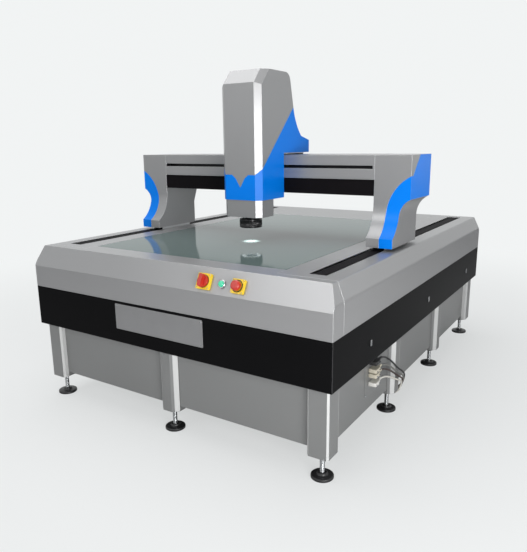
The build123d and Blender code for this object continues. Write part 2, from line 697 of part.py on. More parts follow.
# Beam: a hollow black bar whose lower front stays in view below the cover
rail_face = beam_front + BEAM_FRONT_SETBACK - BEAM_LIP
with BuildPart() as beam:
    with BuildSketch(Plane.YZ.offset(-beam_end)):
        with BuildLine():
            Polyline((beam_front, BEAM_BOTTOM), (beam_front, BEAM_STEP_Z), (rail_face, BEAM_STEP_Z),
                     (rail_face, BEAM_TOP), (beam_back, BEAM_TOP), (beam_back, BEAM_BOTTOM), close=True)
        make_face()
        with Locations(((rail_face + beam_back) / 2, (BEAM_BOTTOM + BEAM_TOP) / 2)):
            Rectangle(beam_back - rail_face - 2 * BEAM_WALL, BEAM_TOP - BEAM_BOTTOM - 2 * BEAM_WALL,
                      mode=Mode.SUBTRACT)
    extrude(amount=2 * beam_end)
save(beam, "beam")

# Beam cover: folded sheet over the front, top and rear, slotted for the carriage
slot_reach = LEG_IN - BEAM_END / 2
cover_lip = beam_front + BEAM_FRONT_SETBACK - BEAM_LIP - MAGNET_T - MAGNET_CLEAR
with BuildPart() as beam_cover:
    span = (-LEG_IN, LEG_IN)
    block(span, (GANTRY_FRONT, GANTRY_FRONT + SHEET), (BEAM_STEP_Z, GANTRY_TOP))
    block(span, (GANTRY_FRONT, cover_lip), (BEAM_STEP_Z, BEAM_STEP_Z + SHEET))
    block(span, (GANTRY_FRONT, GANTRY_REAR), (GANTRY_TOP - SHEET, GANTRY_TOP))
    block(span, (GANTRY_REAR - SHEET, GANTRY_REAR), (BEAM_BOTTOM, GANTRY_TOP))
    block((-slot_reach, slot_reach), (GANTRY_FRONT - SHEET, GANTRY_FRONT + 2 * SHEET),
          (BEAM_SLOT_Z, BEAM_SLOT_Z + BEAM_SLOT_H), Mode.SUBTRACT)
    block((-slot_reach, slot_reach), mid(TOP_RAIL_Y, TOP_SLOT_W), (GANTRY_TOP - 2 * SHEET, GANTRY_TOP + SHEET),
          Mode.SUBTRACT)
save(beam_cover, "beam_cover")

# X rails: one behind the front slot, one on top of the beam
front_rail_z = BEAM_SLOT_Z + BEAM_SLOT_H / 2
with BuildPart() as x_rails:
    block((-slot_reach, slot_reach), (rail_face - X_RAIL_H, rail_face), mid(front_rail_z, X_RAIL_W))
    block((-slot_reach, slot_reach), mid(TOP_RAIL_Y, X_RAIL_W), (BEAM_TOP, BEAM_TOP + X_RAIL_H))
save(x_rails, "x_rails")

track_z = BEAM_STEP_Z + SHEET + AIR_GAP + X_MAGNET_W / 2
with BuildPart() as x_motor_track:
    block((-slot_reach, slot_reach), (rail_face - MAGNET_T, rail_face), mid(track_z, X_MAGNET_W))
save(x_motor_track, "x_motor_track")

# X carriage: one casting with a front plate, a web through the slot, an inner flange and an arm over the beam
flange_rear = rail_face - X_BLOCK_LIFT - X_BLOCK[2]
flange_front = flange_rear - INNER_FLANGE_T
arm_z = BEAM_TOP + X_BLOCK_LIFT + X_BLOCK[2]
with BuildPart() as x_carriage:
    block(mid(COLUMN_X, 2 * INNER_W), (PLATE_FRONT, PLATE_REAR), (PLATE_BOTTOM, PLATE_TOP))
    block(mid(COLUMN_X, 2 * WEB_HALF), (PLATE_REAR, flange_front), mid(front_rail_z, WEB_T))
    block(mid(COLUMN_X, 2 * WEB_HALF), (flange_front, flange_rear),
          (track_z - X_MAGNET_W / 2, front_rail_z + X_BLOCK[1] / 2))
    block(mid(COLUMN_X, 2 * WEB_HALF), (PLATE_REAR, TOP_RAIL_Y + X_BLOCK[1] / 2), (arm_z, arm_z + ARM_T))
save(x_carriage, "x_carriage")

with BuildPart() as x_blocks:
    for x in (COLUMN_X - X_BLOCK[0] * 0.75, COLUMN_X + X_BLOCK[0] * 0.75):
        block(mid(x, X_BLOCK[0]), (flange_rear, rail_face - X_BLOCK_LIFT), mid(front_rail_z, X_BLOCK[1]))
        block(mid(x, X_BLOCK[0]), (rail_face - X_RAIL_H - GAP, rail_face), mid(front_rail_z, X_RAIL_W + 2 * GAP),
              Mode.SUBTRACT)
        block(mid(x, X_BLOCK[0]), mid(TOP_RAIL_Y, X_BLOCK[1]), (BEAM_TOP + X_BLOCK_LIFT, arm_z))
        block(mid(x, X_BLOCK[0]), mid(TOP_RAIL_Y, X_RAIL_W + 2 * GAP), (BEAM_TOP, BEAM_TOP + X_RAIL_H + GAP),
              Mode.SUBTRACT)
save(x_blocks, "x_blocks")

with BuildPart() as x_motor_coil:
    block(mid(COLUMN_X, COIL_L), (flange_rear, rail_face - MAGNET_T - AIR_GAP), mid(track_z, X_MAGNET_W))
save(x_motor_coil, "x_motor_coil")

# Column and saddle shell: one side outline with an ear over the beam, carried across the column's width,
# then split by a slanting line and a notch into the silver column cover and the blue saddle cover
column_shells = []
for wall, room in ((0, 0), (SHEET, 2 * SHEET)):
    with BuildPart() as shell:
        with BuildSketch(Plane.YZ.offset(COLUMN_X - COLUMN_W / 2 + wall)) as outline:
            with BuildLine():
                front = COLUMN_FRONT + wall
                rear = COLUMN_REAR - wall
                top = COLUMN_TOP - wall
                lean = Vector(COLUMN_LEAN, EAR_CURVE_TOP - COLUMN_TOP)
                arc_end = (EAR_REAR - EAR_SLOPE_RUN - wall, EAR_TOP + EAR_SLOPE_H - wall)
                Polyline((rear, EAR_CURVE_TOP), (rear - COLUMN_LEAN, top), (COLUMN_FRONT + COLUMN_BEVEL_IN, top),
                         (front, COLUMN_TOP - COLUMN_BEVEL_H - wall / 2), (front, SADDLE_BOTTOM - room),
                         (SADDLE_REAR + room, SADDLE_BOTTOM - room), (SADDLE_REAR + room, EAR_BOTTOM - room),
                         (EAR_REAR - wall, EAR_BOTTOM - room), (EAR_REAR - wall, EAR_TOP - wall), arc_end)
                TangentArc((rear, EAR_CURVE_TOP), arc_end, tangent=lean)
            make_face()
            rear_top = outline.vertices().sort_by_distance((rear - COLUMN_LEAN, top))[0]
            fillet(rear_top, COLUMN_REAR_R - wall)
        extrude(amount=COLUMN_W - 2 * wall)
        front_edges = shell.edges().filter_by(GeomType.LINE).filter_by(
            lambda e: e.center().Y < COLUMN_FRONT + COLUMN_BEVEL_IN * 0.75 and abs(e.tangent_at(0.5).X) < 0.1
            and e.tangent_at(0.5).Z ** 2 > 0.1 and e.center().Z > SADDLE_BOTTOM)
        chamfer(front_edges, COLUMN_CHAMFER - wall / 2)
    column_shells.append(shell.part)
column_outer, column_inner = column_shells

with BuildPart() as upper_region:
    with BuildSketch(Plane.YZ.offset(COLUMN_X - COLUMN_W)):
        with BuildLine():
            rise = (SPLIT_REAR_Z - SPLIT_FRONT_Z) / (COLUMN_REAR - COLUMN_FRONT)
            Polyline((COLUMN_FRONT - SHEET, SPLIT_FRONT_Z - SHEET * rise),
                     (COLUMN_REAR + COLUMN_CHAMFER, SPLIT_REAR_Z + COLUMN_CHAMFER * rise),
                     (COLUMN_REAR + COLUMN_CHAMFER, COLUMN_TOP + SHEET), (COLUMN_FRONT - SHEET, COLUMN_TOP + SHEET),
                     close=True)
        make_face()
    extrude(amount=2 * COLUMN_W)
    with BuildSketch(Plane.XZ.offset(-COLUMN_FRONT - 2 * SHEET)):
        with BuildLine():
            bend_x = NOTCH_W * 0.28
            bend_z = SPLIT_FRONT_Z - NOTCH_DROP * 0.27
            Polyline((COLUMN_X - NOTCH_W / 2, SPLIT_FRONT_Z), (COLUMN_X - bend_x, bend_z),
                     (COLUMN_X, SPLIT_FRONT_Z - NOTCH_DROP), (COLUMN_X + bend_x, bend_z),
                     (COLUMN_X + NOTCH_W / 2, SPLIT_FRONT_Z), (COLUMN_X, SPLIT_FRONT_Z + NOTCH_DROP), close=True)
        make_face()
    extrude(amount=3 * SHEET)

with BuildPart() as column_cover:
    add(column_outer)
    add(column_inner, mode=Mode.SUBTRACT)
    add(upper_region.part, mode=Mode.INTERSECT)
save(column_cover, "column_cover")

with BuildPart() as saddle_cover:
    add(column_outer)
    add(column_inner, mode=Mode.SUBTRACT)
    add(upper_region.part, mode=Mode.SUBTRACT)
save(saddle_cover, "saddle_cover")

# Z axis: rails on the carriage plate, a ball screw between them and a motor on top
screw_y = PLATE_FRONT - Z_RAIL_H - Z_BLOCK_LIFT + 1
slide_rear = PLATE_FRONT - Z_BLOCK_LIFT - Z_BLOCK[2]
with BuildPart() as z_rails:
    for side in (-1, 1):
        block(mid(COLUMN_X + side * Z_RAIL_X, Z_RAIL_W), (PLATE_FRONT - Z_RAIL_H, PLATE_FRONT),
              (PLATE_BOTTOM, PLATE_TOP))
save(z_rails, "z_rails")

support_y = (slide_rear + AIR_GAP, PLATE_FRONT)
with BuildPart() as screw_supports:
    for bottom in (PLATE_BOTTOM, PLATE_TOP - SUPPORT_H):
        block(mid(COLUMN_X, Z_MOTOR_W), support_y, (bottom, bottom + SUPPORT_H))
    with BuildSketch(Plane.XY.offset(PLATE_BOTTOM)):
        with Locations((COLUMN_X, screw_y)):
            Circle(Z_JOURNAL_D / 2 + FIT)
    extrude(amount=PLATE_TOP - PLATE_BOTTOM, mode=Mode.SUBTRACT)
save(screw_supports, "screw_supports")

with BuildPart() as z_motor:
    block(mid(COLUMN_X, Z_MOTOR_W), mid(screw_y, Z_MOTOR_W), (PLATE_TOP, PLATE_TOP + Z_MOTOR_H))
    chamfer(z_motor.edges().filter_by(Axis.Z), 4)
    with Locations((COLUMN_X, screw_y, PLATE_TOP)):
        Cylinder(Z_JOURNAL_D / 2 + FIT, SUPPORT_H * 2, mode=Mode.SUBTRACT)
save(z_motor, "z_motor")

journal = SUPPORT_H + GAP
with BuildPart() as z_screw:
    with BuildSketch(Plane.XY.offset(PLATE_BOTTOM)):
        with Locations((COLUMN_X, screw_y)):
            Circle(Z_JOURNAL_D / 2)
    extrude(amount=PLATE_TOP - PLATE_BOTTOM + SUPPORT_H / 2)
    with BuildSketch(Plane.XY.offset(PLATE_BOTTOM + journal)):
        with Locations((COLUMN_X, screw_y)):
            Circle(Z_SCREW_D / 2)
    extrude(amount=PLATE_TOP - PLATE_BOTTOM - 2 * journal)
save(z_screw, "z_screw")

with BuildPart() as z_blocks:
    for side in (-1, 1):
        x = COLUMN_X + side * Z_RAIL_X
        for z in (Z_SLIDE_BOTTOM + Z_BLOCK[1] / 2, Z_SLIDE_TOP - Z_BLOCK[1] / 2):
            block(mid(x, Z_BLOCK[0]), (slide_rear, PLATE_FRONT - Z_BLOCK_LIFT), mid(z, Z_BLOCK[1]))
            block(mid(x, Z_RAIL_W + 2 * GAP), (PLATE_FRONT - Z_RAIL_H - GAP, PLATE_FRONT), mid(z, Z_BLOCK[1]),
                  Mode.SUBTRACT)
save(z_blocks, "z_blocks")

with BuildPart() as z_nut:
    nut_z = (Z_SLIDE_BOTTOM + Z_SLIDE_TOP) / 2
    block(mid(COLUMN_X, Z_MOTOR_W * 0.7), (slide_rear, PLATE_FRONT - AIR_GAP), mid(nut_z, Z_MOTOR_W))
    with Locations((COLUMN_X, screw_y, nut_z)):
        Cylinder(Z_SCREW_D / 2 + FIT, 2 * Z_MOTOR_W, mode=Mode.SUBTRACT)
save(z_nut, "z_nut")

# Z slide: the plate on the blocks, and the arm that grips the lens and carries the sleeve
sleeve_x = INNER_W - SLEEVE_CLEAR
sleeve_front = COLUMN_FRONT + SHEET + SLEEVE_CLEAR
sleeve_rear = sleeve_front + SLEEVE_DEPTH
slide_front = slide_rear - Z_SLIDE_T
with BuildPart() as z_slide:
    block(mid(COLUMN_X, 2 * Z_RAIL_X + Z_BLOCK[0]), (slide_front, slide_rear), (Z_SLIDE_BOTTOM, Z_SLIDE_TOP))
    block(mid(COLUMN_X, 2 * (sleeve_x - SHEET)), (LENS_Y - LENS_D * 0.7, slide_front), (ARM_Z, ARM_Z + ARM_H))
    with Locations((COLUMN_X, LENS_Y, ARM_Z)):
        Cylinder(LENS_D / 2 + GAP, 4 * ARM_H, mode=Mode.SUBTRACT)
save(z_slide, "z_slide")

# Sleeve: a folded channel with a floor, the telescoping skirt below the saddle
with BuildPart() as sleeve:
    block(mid(COLUMN_X, 2 * sleeve_x), (sleeve_front, sleeve_rear), (SLEEVE_BOTTOM, SLEEVE_TOP))
    chamfer(sleeve.edges().filter_by(Axis.Z).group_by(Axis.Y)[0], COLUMN_CHAMFER - SLEEVE_CLEAR)
    with BuildSketch(Plane.XY.offset(SLEEVE_BOTTOM + SHEET)):
        with BuildLine():
            inner_x = sleeve_x - SHEET
            inner_front = sleeve_front + SHEET
            cut = COLUMN_CHAMFER - SLEEVE_CLEAR - SHEET / 2
            Polyline((COLUMN_X - inner_x, sleeve_rear), (COLUMN_X - inner_x, inner_front + cut),
                     (COLUMN_X - inner_x + cut, inner_front), (COLUMN_X + inner_x - cut, inner_front),
                     (COLUMN_X + inner_x, inner_front + cut), (COLUMN_X + inner_x, sleeve_rear), close=True)
        make_face()
    extrude(amount=SLEEVE_TOP - SLEEVE_BOTTOM, mode=Mode.SUBTRACT)
    with Locations((COLUMN_X, LENS_Y, SLEEVE_BOTTOM)):
        Cylinder(LENS_HOLE / 2, 4 * SHEET, mode=Mode.SUBTRACT)
save(sleeve, "sleeve")

# Zoom lens, camera and ring light on one optical axis
with BuildPart() as zoom_lens:
    with BuildSketch(Plane.XZ.offset(-LENS_Y)):
        with BuildLine():
            barrel = LENS_D / 2
            nose = barrel * 0.8
            neck = barrel * 0.65
            Polyline((COLUMN_X, LENS_BOTTOM), (COLUMN_X + nose, LENS_BOTTOM), (COLUMN_X + nose, SLEEVE_BOTTOM - SHEET),
                     (COLUMN_X + barrel, SLEEVE_BOTTOM + SHEET), (COLUMN_X + barrel, LENS_TOP - barrel),
                     (COLUMN_X + neck, LENS_TOP - barrel), (COLUMN_X + neck, LENS_TOP),
                     (COLUMN_X, LENS_TOP), close=True)
        make_face()
    revolve(axis=Axis((COLUMN_X, LENS_Y, 0), (0, 0, 1)))
save(zoom_lens, "zoom_lens")

with BuildPart() as camera:
    block(mid(COLUMN_X, CAMERA_W), mid(LENS_Y, CAMERA_W), (LENS_TOP, LENS_TOP + CAMERA_H))
    fillet(camera.edges().filter_by(Axis.Z), 3)
save(camera, "camera")

with BuildPart() as ring_light:
    ring_top = RING_BOTTOM + RING_H
    with Locations((COLUMN_X, LENS_Y, RING_BOTTOM + RING_H / 2)):
        Cylinder(RING_D / 2, RING_H)
    chamfer(ring_light.edges().filter_by(GeomType.CIRCLE), 4)
    with Locations((COLUMN_X, LENS_Y, (ring_top + SLEEVE_BOTTOM) / 2)):
        Cylinder(RING_COLLAR_D / 2, SLEEVE_BOTTOM - ring_top)
    with Locations((COLUMN_X, LENS_Y, RING_BOTTOM)):
        flare = RING_H * 0.2
        Cone(RING_IN / 2 + flare, RING_IN / 2 - flare, 2 * (SLEEVE_BOTTOM - RING_BOTTOM), mode=Mode.SUBTRACT)
save(ring_light, "ring_light")

# Controls on the front bevel, each built on a plane that lies on the slope
slope = Vector(0, FRONT_BEVEL_IN, FRONT_BEVEL_H).normalized()
bevel_normal = Vector(0, -slope.Z, slope.Y)
bevel_mid = Vector(0, -HALF_D + FRONT_BEVEL_IN / 2, TABLE_Z - FRONT_BEVEL_H / 2) - slope * CONTROL_DROP


def bevel_plane(x, height):
    """A plane on the bevel at a place along X, raised off it by a height."""
    return Plane(bevel_mid + Vector(x, 0, 0) + bevel_normal * height, x_dir=(1, 0, 0), z_dir=bevel_normal)


with BuildPart() as switch_plate:
    with BuildSketch(bevel_plane(SWITCH_X, 0)):
        RectangleRounded(PLATE_W, PLATE_W, PLATE_W / 16)
    extrude(amount=SWITCH_PLATE_T)
    with BuildSketch(bevel_plane(SWITCH_X, SWITCH_PLATE_T / 3)):
        Circle(SWITCH_SHAFT_D / 2 + CONTROL_FIT)
    extrude(amount=SWITCH_PLATE_T, mode=Mode.SUBTRACT)
save(switch_plate, "switch_plate")

with BuildPart() as main_switch_knob:
    with BuildSketch(bevel_plane(SWITCH_X, SWITCH_PLATE_T / 3 + GAP)):
        Circle(SWITCH_SHAFT_D / 2)
    extrude(amount=SWITCH_PLATE_T * 2 / 3 + KNOB_BASE_H / 2)
    with BuildSketch(bevel_plane(SWITCH_X, SWITCH_PLATE_T + GAP)):
        Circle(KNOB_D / 2)
    extrude(amount=KNOB_BASE_H, taper=6)
    with BuildSketch(bevel_plane(SWITCH_X, SWITCH_PLATE_T + KNOB_BASE_H / 2)):
        SlotOverall(KNOB_GRIP[1], KNOB_GRIP[0], rotation=90)
    extrude(amount=KNOB_GRIP[2] + KNOB_BASE_H / 2, taper=4)
save(main_switch_knob, "main_switch_knob")

with BuildPart() as pilot_bezel:
    with BuildSketch(bevel_plane(PILOT_X, 0)):
        Circle(PILOT_D / 2)
        Circle(PILOT_LENS_D / 2 + GAP, mode=Mode.SUBTRACT)
    extrude(amount=PILOT_H)
    chamfer(pilot_bezel.faces().sort_by(Axis((0, 0, 0), bevel_normal))[-1].outer_wire().edges(), 2)
save(pilot_bezel, "pilot_bezel")

with BuildPart() as pilot_lens:
    with BuildSketch(bevel_plane(PILOT_X, 0)):
        Circle(PILOT_LENS_D / 2)
    extrude(amount=2 * PILOT_H)
    fillet(pilot_lens.faces().sort_by(Axis((0, 0, 0), bevel_normal))[-1].edges(), PILOT_H * 0.9)
save(pilot_lens, "pilot_lens")

with BuildPart() as estop_plate:
    with BuildSketch(bevel_plane(ESTOP_X, 0)):
        RectangleRounded(ESTOP_W, ESTOP_W, ESTOP_W / 14)
    extrude(amount=ESTOP_H)
    with BuildSketch(bevel_plane(ESTOP_X, ESTOP_H / 6)):
        Circle(ESTOP_STEM_D / 2 + CONTROL_FIT)
    extrude(amount=ESTOP_H, mode=Mode.SUBTRACT)
save(estop_plate, "estop_plate")

head_base = ESTOP_H + ESTOP_TRAVEL + AIR_GAP
with BuildPart() as estop_button:
    with BuildSketch(bevel_plane(ESTOP_X, ESTOP_H / 6 + ESTOP_TRAVEL + AIR_GAP)):
        Circle(ESTOP_STEM_D / 2)
    extrude(amount=head_base - ESTOP_H / 6)
    with BuildSketch(bevel_plane(ESTOP_X, head_base)):
        Circle(ESTOP_HEAD_D / 2)
    extrude(amount=ESTOP_HEAD_H)
    fillet(estop_button.faces().sort_by(Axis((0, 0, 0), bevel_normal))[-1].edges(), ESTOP_HEAD_H * 0.45)
save(estop_button, "estop_button")

# Connector plate on the right side with four cable hoods, and the control box hung under the frame
plate_face = panel_x + CONNECTOR_PLATE[0]
with BuildPart() as connector_plate:
    block((panel_x, plate_face), mid(CONNECTOR_Y, CONNECTOR_PLATE[1]), mid(CONNECTOR_Z, CONNECTOR_PLATE[2]))
save(connector_plate, "connector_plate")

hood_heights = [CONNECTOR_Z + row for row in PLUG_ROWS]
with BuildPart() as cable_hoods:
    for z in hood_heights:
        block((plate_face, plate_face + PLUG[0]), mid(CONNECTOR_Y, PLUG[1]), mid(z, PLUG[2]))
    chamfer(cable_hoods.edges().filter_by(Axis.Z).group_by(Axis.X)[-1], PLUG[2] / 4)
save(cable_hoods, "cable_hoods")

box_y = side_rows[0] + BOX_SHIFT
box_z = (SKIRT_Z - BOX_SIZE[2], SKIRT_Z)
with BuildPart() as control_box:
    block(mid(BOX_X, BOX_SIZE[0]), mid(box_y, BOX_SIZE[1]), box_z)
    block(mid(BOX_X, BOX_SIZE[0] - 2 * BOX_WALL), mid(box_y, BOX_SIZE[1] - 2 * BOX_WALL),
          (box_z[0] + BOX_WALL, SKIRT_Z), Mode.SUBTRACT)
save(control_box, "control_box")

# Four cables: out of the hoods, past the outside of the post, under the panels and up into the box
post_edge = side_rows[0] + MIDDLE_POST_W / 2
post_face = HALF_W - POST_INSET
cable_start = (plate_face + PLUG[0] * 0.58, CONNECTOR_Y + PLUG[1] / 2)
run = post_edge - cable_start[1]
route_z = FOOT_H + CABLE_RISE


def cable_route(lane):
    """The bend points of one cable; lane 0 is the topmost and the outermost where they drop."""
    z = hood_heights[lane]
    pass_z = route_z + PASS_RISE - LANE_STEP * lane
    drop_y = post_edge + DROP_REACH - (LANE_STEP - 1) * lane
    low = route_z - LANE_DROP * lane
    return [
        (cable_start[0], cable_start[1], z),
        (cable_start[0], cable_start[1] + 0.17 * run, z),
        (post_face + POST_PASS / 2, cable_start[1] + 0.42 * run, z - 0.3 * (z - pass_z)),
        (post_face + POST_PASS, cable_start[1] + 0.65 * run, z - 0.72 * (z - pass_z)),
        (post_face + POST_PASS, post_edge - 28 - 8 * lane, pass_z),
        (post_face + 12, drop_y, low + 19),
        (post_face - 8, drop_y + 5, low - 48),
        (post_face - 78, drop_y, low - 64),
        (BOX_X + 50, drop_y, low - 41),
        (BOX_X + 10, drop_y, route_z + 34),
        (BOX_X + 10, drop_y, box_z[0]),
    ]


def bend_radii(points):
    """The bend radius at each inner point, from the shorter of its two runs and the turn between them."""
    radii = []
    for before, here, after in zip(points, points[1:], points[2:]):
        run_in = Vector(here) - Vector(before)
        run_out = Vector(after) - Vector(here)
        half_turn = radians(run_in.get_angle(run_out)) / 2
        radii.append(0.45 * min(run_in.length, run_out.length) / tan(half_turn))
    return radii


for lane, name in enumerate(("cable_upper", "cable_second", "cable_third", "cable_lower")):
    points = cable_route(lane)
    radii = bend_radii(points)
    with BuildPart() as cable:
        with BuildLine() as line:
            FilletPolyline(*points, radius=radii)
        with BuildSketch(Plane(points[0], z_dir=line.wires()[0] % 0)):
            Circle(CABLE_D / 2)
        sweep()
    length = line.wires()[0].length
    filled = cable.part.volume / (pi * CABLE_D ** 2 / 4 * length)
    print(name, "bend radii", [round(r) for r in radii], "length", round(length), "filled", round(filled, 4))
    save(cable, name)
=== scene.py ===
import math

import bmesh
import bpy
import numpy as np
from mathutils import Matrix, Vector


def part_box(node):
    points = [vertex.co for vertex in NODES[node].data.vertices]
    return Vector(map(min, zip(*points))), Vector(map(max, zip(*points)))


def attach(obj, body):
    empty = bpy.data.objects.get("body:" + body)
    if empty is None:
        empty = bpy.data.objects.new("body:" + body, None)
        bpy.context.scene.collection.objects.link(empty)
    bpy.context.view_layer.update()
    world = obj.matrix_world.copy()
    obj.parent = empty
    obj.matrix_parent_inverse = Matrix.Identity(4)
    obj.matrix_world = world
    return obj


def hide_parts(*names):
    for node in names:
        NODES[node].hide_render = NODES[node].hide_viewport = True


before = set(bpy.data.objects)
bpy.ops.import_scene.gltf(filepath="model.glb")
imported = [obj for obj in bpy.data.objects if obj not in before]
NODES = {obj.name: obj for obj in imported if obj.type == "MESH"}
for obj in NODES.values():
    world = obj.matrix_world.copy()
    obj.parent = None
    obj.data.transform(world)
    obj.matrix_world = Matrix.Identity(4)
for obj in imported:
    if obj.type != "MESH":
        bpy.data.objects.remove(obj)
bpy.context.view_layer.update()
scene = bpy.context.scene

# Camera: where the photograph was taken, found from the machine's own straight edges.
# The focal length is in pixels of a picture 527 wide, and the angles are in degrees.
FOCAL_PX, PHOTO_W, SENSOR_W = 564.6, 527, 36.0
CAMERA_PLACE = (1.59505, -2.71083, 1.22887)
CAMERA_YAW, CAMERA_PITCH, CAMERA_ROLL = 33.02, -13.14, -0.68
camera_data = bpy.data.cameras.new("photo_camera")
camera_data.sensor_fit = "HORIZONTAL"
camera_data.sensor_width = SENSOR_W
camera_data.lens = FOCAL_PX / PHOTO_W * SENSOR_W
camera_data.clip_end = 100.0
camera = bpy.data.objects.new("photo_camera", camera_data)
scene.collection.objects.link(camera)
yaw, pitch, roll = (math.radians(a) for a in (CAMERA_YAW, CAMERA_PITCH, CAMERA_ROLL))
ahead = Vector((-math.sin(yaw) * math.cos(pitch), math.cos(yaw) * math.cos(pitch), math.sin(pitch)))
across = Vector((math.cos(yaw), math.sin(yaw), 0))
upward = across.cross(ahead)
right = across * math.cos(roll) + upward * math.sin(roll)
above = upward * math.cos(roll) - across * math.sin(roll)
turn = Matrix((right, above, -ahead)).transposed().to_4x4()
camera.matrix_world = Matrix.Translation(CAMERA_PLACE) @ turn
scene.camera = camera
scene.view_settings.view_transform = "Standard"

# Studio light: softboxes at the right for the chamfers, in front for the bevels and overhead for the table.
# The room itself gives little light, and shows as a pale backdrop to the camera, mirrors and glass.


def softbox(name, place, aim, size, watts):
    """A rectangular area lamp at a place, turned to face a point."""
    lamp = bpy.data.lights.new(name, "AREA")
    lamp.shape = "RECTANGLE"
    lamp.size, lamp.size_y = size
    lamp.energy = watts
    obj = bpy.data.objects.new(name, lamp)
    obj.location = place
    obj.rotation_euler = (Vector(aim) - Vector(place)).to_track_quat("-Z", "Y").to_euler()
    scene.collection.objects.link(obj)


softbox("right_softbox", (3.05, -2.75, 0.93), (0.2, -0.5, 0.7), (1.35, 1.45), 86)
softbox("front_softbox", (-1.6, -5.6, 4.0), (0.3, -0.8, 0.7), (2.8, 2.0), 64)
softbox("top_softbox", (-0.6, -0.1, 4.4), (0, 0.1, 0.7), (4.2, 4.2), 128)
world = bpy.data.worlds.new("pale_room")
scene.world = world
world.use_nodes = True
air = world.node_tree
room_light = air.nodes["Background"]
room_light.inputs["Color"].default_value = (0.80, 0.83, 0.86, 1)
room_light.inputs["Strength"].default_value = 0.20
backdrop = air.nodes.new("ShaderNodeBackground")
backdrop.inputs["Color"].default_value = (0.93, 0.95, 0.95, 1)
backdrop.inputs["Strength"].default_value = 0.95
rays = air.nodes.new("ShaderNodeLightPath")
seen = rays.outputs["Is Camera Ray"]
for label in ("Is Glossy Ray", "Is Transmission Ray"):
    either = air.nodes.new("ShaderNodeMath")
    either.operation = "MAXIMUM"
    air.links.new(seen, either.inputs[0])
    air.links.new(rays.outputs[label], either.inputs[1])
    seen = either.outputs[0]
shown = air.nodes.new("ShaderNodeMixShader")
air.links.new(seen, shown.inputs["Fac"])
air.links.new(room_light.outputs["Background"], shown.inputs[1])
air.links.new(backdrop.outputs["Background"], shown.inputs[2])
air.links.new(shown.outputs["Shader"], air.nodes["World Output"].inputs["Surface"])

# Floor: a plain pale sheet that keeps the machine's shadow.
# Seen from the camera it fades into the backdrop with the distance from the machine.
FLOOR_HALF = 16.0
FADE_NEAR, FADE_FAR, FADE_LEAST = 0.6, 4.2, 0.62
sheet = bpy.data.meshes.new("floor")
floor_corners = [(x * FLOOR_HALF, y * FLOOR_HALF, 0) for x, y in ((-1, -1), (1, -1), (1, 1), (-1, 1))]
sheet.from_pydata(floor_corners, [], [(0, 1, 2, 3)])
floor = bpy.data.objects.new("floor", sheet)
scene.collection.objects.link(floor)
floor_paint = bpy.data.materials.new("floor_pale")
floor_paint.use_nodes = True
floor_shader = floor_paint.node_tree.nodes["Principled BSDF"]
floor_shader.inputs["Base Color"].default_value = (0.80, 0.805, 0.805, 1)
floor_shader.inputs["Roughness"].default_value = 0.7
floor_tree = floor_paint.node_tree
distance = floor_tree.nodes.new("ShaderNodeVectorMath")
distance.operation = "LENGTH"
floor_tree.links.new(floor_tree.nodes.new("ShaderNodeTexCoord").outputs["Object"], distance.inputs[0])
fade = floor_tree.nodes.new("ShaderNodeMapRange")
fade.interpolation_type = "SMOOTHSTEP"
fade.inputs["From Min"].default_value = FADE_NEAR
fade.inputs["From Max"].default_value = FADE_FAR
fade.inputs["To Min"].default_value = FADE_LEAST
floor_tree.links.new(distance.outputs["Value"], fade.inputs["Value"])
where = floor_tree.nodes.new("ShaderNodeMath")
where.operation = "MULTIPLY"
floor_tree.links.new(fade.outputs["Result"], where.inputs[0])
floor_rays = floor_tree.nodes.new("ShaderNodeLightPath")
floor_tree.links.new(floor_rays.outputs["Is Camera Ray"], where.inputs[1])
horizon = floor_tree.nodes.new("ShaderNodeEmission")
horizon.inputs["Color"].default_value = backdrop.inputs["Color"].default_value
horizon.inputs["Strength"].default_value = backdrop.inputs["Strength"].default_value
sweep = floor_tree.nodes.new("ShaderNodeMixShader")
floor_tree.links.new(where.outputs[0], sweep.inputs["Fac"])
floor_tree.links.new(floor_shader.outputs["BSDF"], sweep.inputs[1])
floor_tree.links.new(horizon.outputs["Emission"], sweep.inputs[2])
floor_tree.links.new(sweep.outputs["Shader"], floor_tree.nodes["Material Output"].inputs["Surface"])
sheet.materials.append(floor_paint)

# Levelling feet: black moulded pads on plated studs with a hexagon lock nut, one under each post.
# The studs are rolled threads, and a rubber collar hides the ball at the bottom of each.
FOOT_X, FOOT_Y = 0.733, 0.993
feet = [(sx * FOOT_X, sy * FOOT_Y) for sx in (-1, 1) for sy in (-1, -1 / 3, 1 / 3, 1)]
feet += [(0, -FOOT_Y), (0, FOOT_Y)]


def make_group(name, inputs, outputs):
    """An empty shader node group with named float or colour sockets; returns it with its two ends."""
    group = bpy.data.node_groups.new(name, "ShaderNodeTree")
    for label, kind in inputs:
        group.interface.new_socket(label, in_out="INPUT", socket_type=kind)
    for label, kind in outputs:
        group.interface.new_socket(label, in_out="OUTPUT", socket_type=kind)
    return group, group.nodes.new("NodeGroupInput"), group.nodes.new("NodeGroupOutput")


FLOAT, COLOUR, VECTOR = "NodeSocketFloat", "NodeSocketColor", "NodeSocketVector"
surface_grain, ends_in, ends_out = make_group(
    "surface_grain",
    [("Colour", COLOUR), ("Shade", FLOAT), ("Patch Scale", FLOAT), ("Grain Scale", FLOAT),
     ("Roughness", FLOAT), ("Spread", FLOAT)],
    [("Colour", COLOUR), ("Roughness", FLOAT), ("Height", FLOAT)],
)


def wire(tree, source, target):
    """Links an output socket to an input socket."""
    tree.links.new(source, target)


def add_math(tree, operation, first, second):
    """A math node on two values or sockets; returns its output."""
    node = tree.nodes.new("ShaderNodeMath")
    node.operation = operation
    for slot, value in enumerate((first, second)):
        if isinstance(value, (int, float)):
            node.inputs[slot].default_value = value
        else:
            wire(tree, value, node.inputs[slot])
    return node.outputs[0]


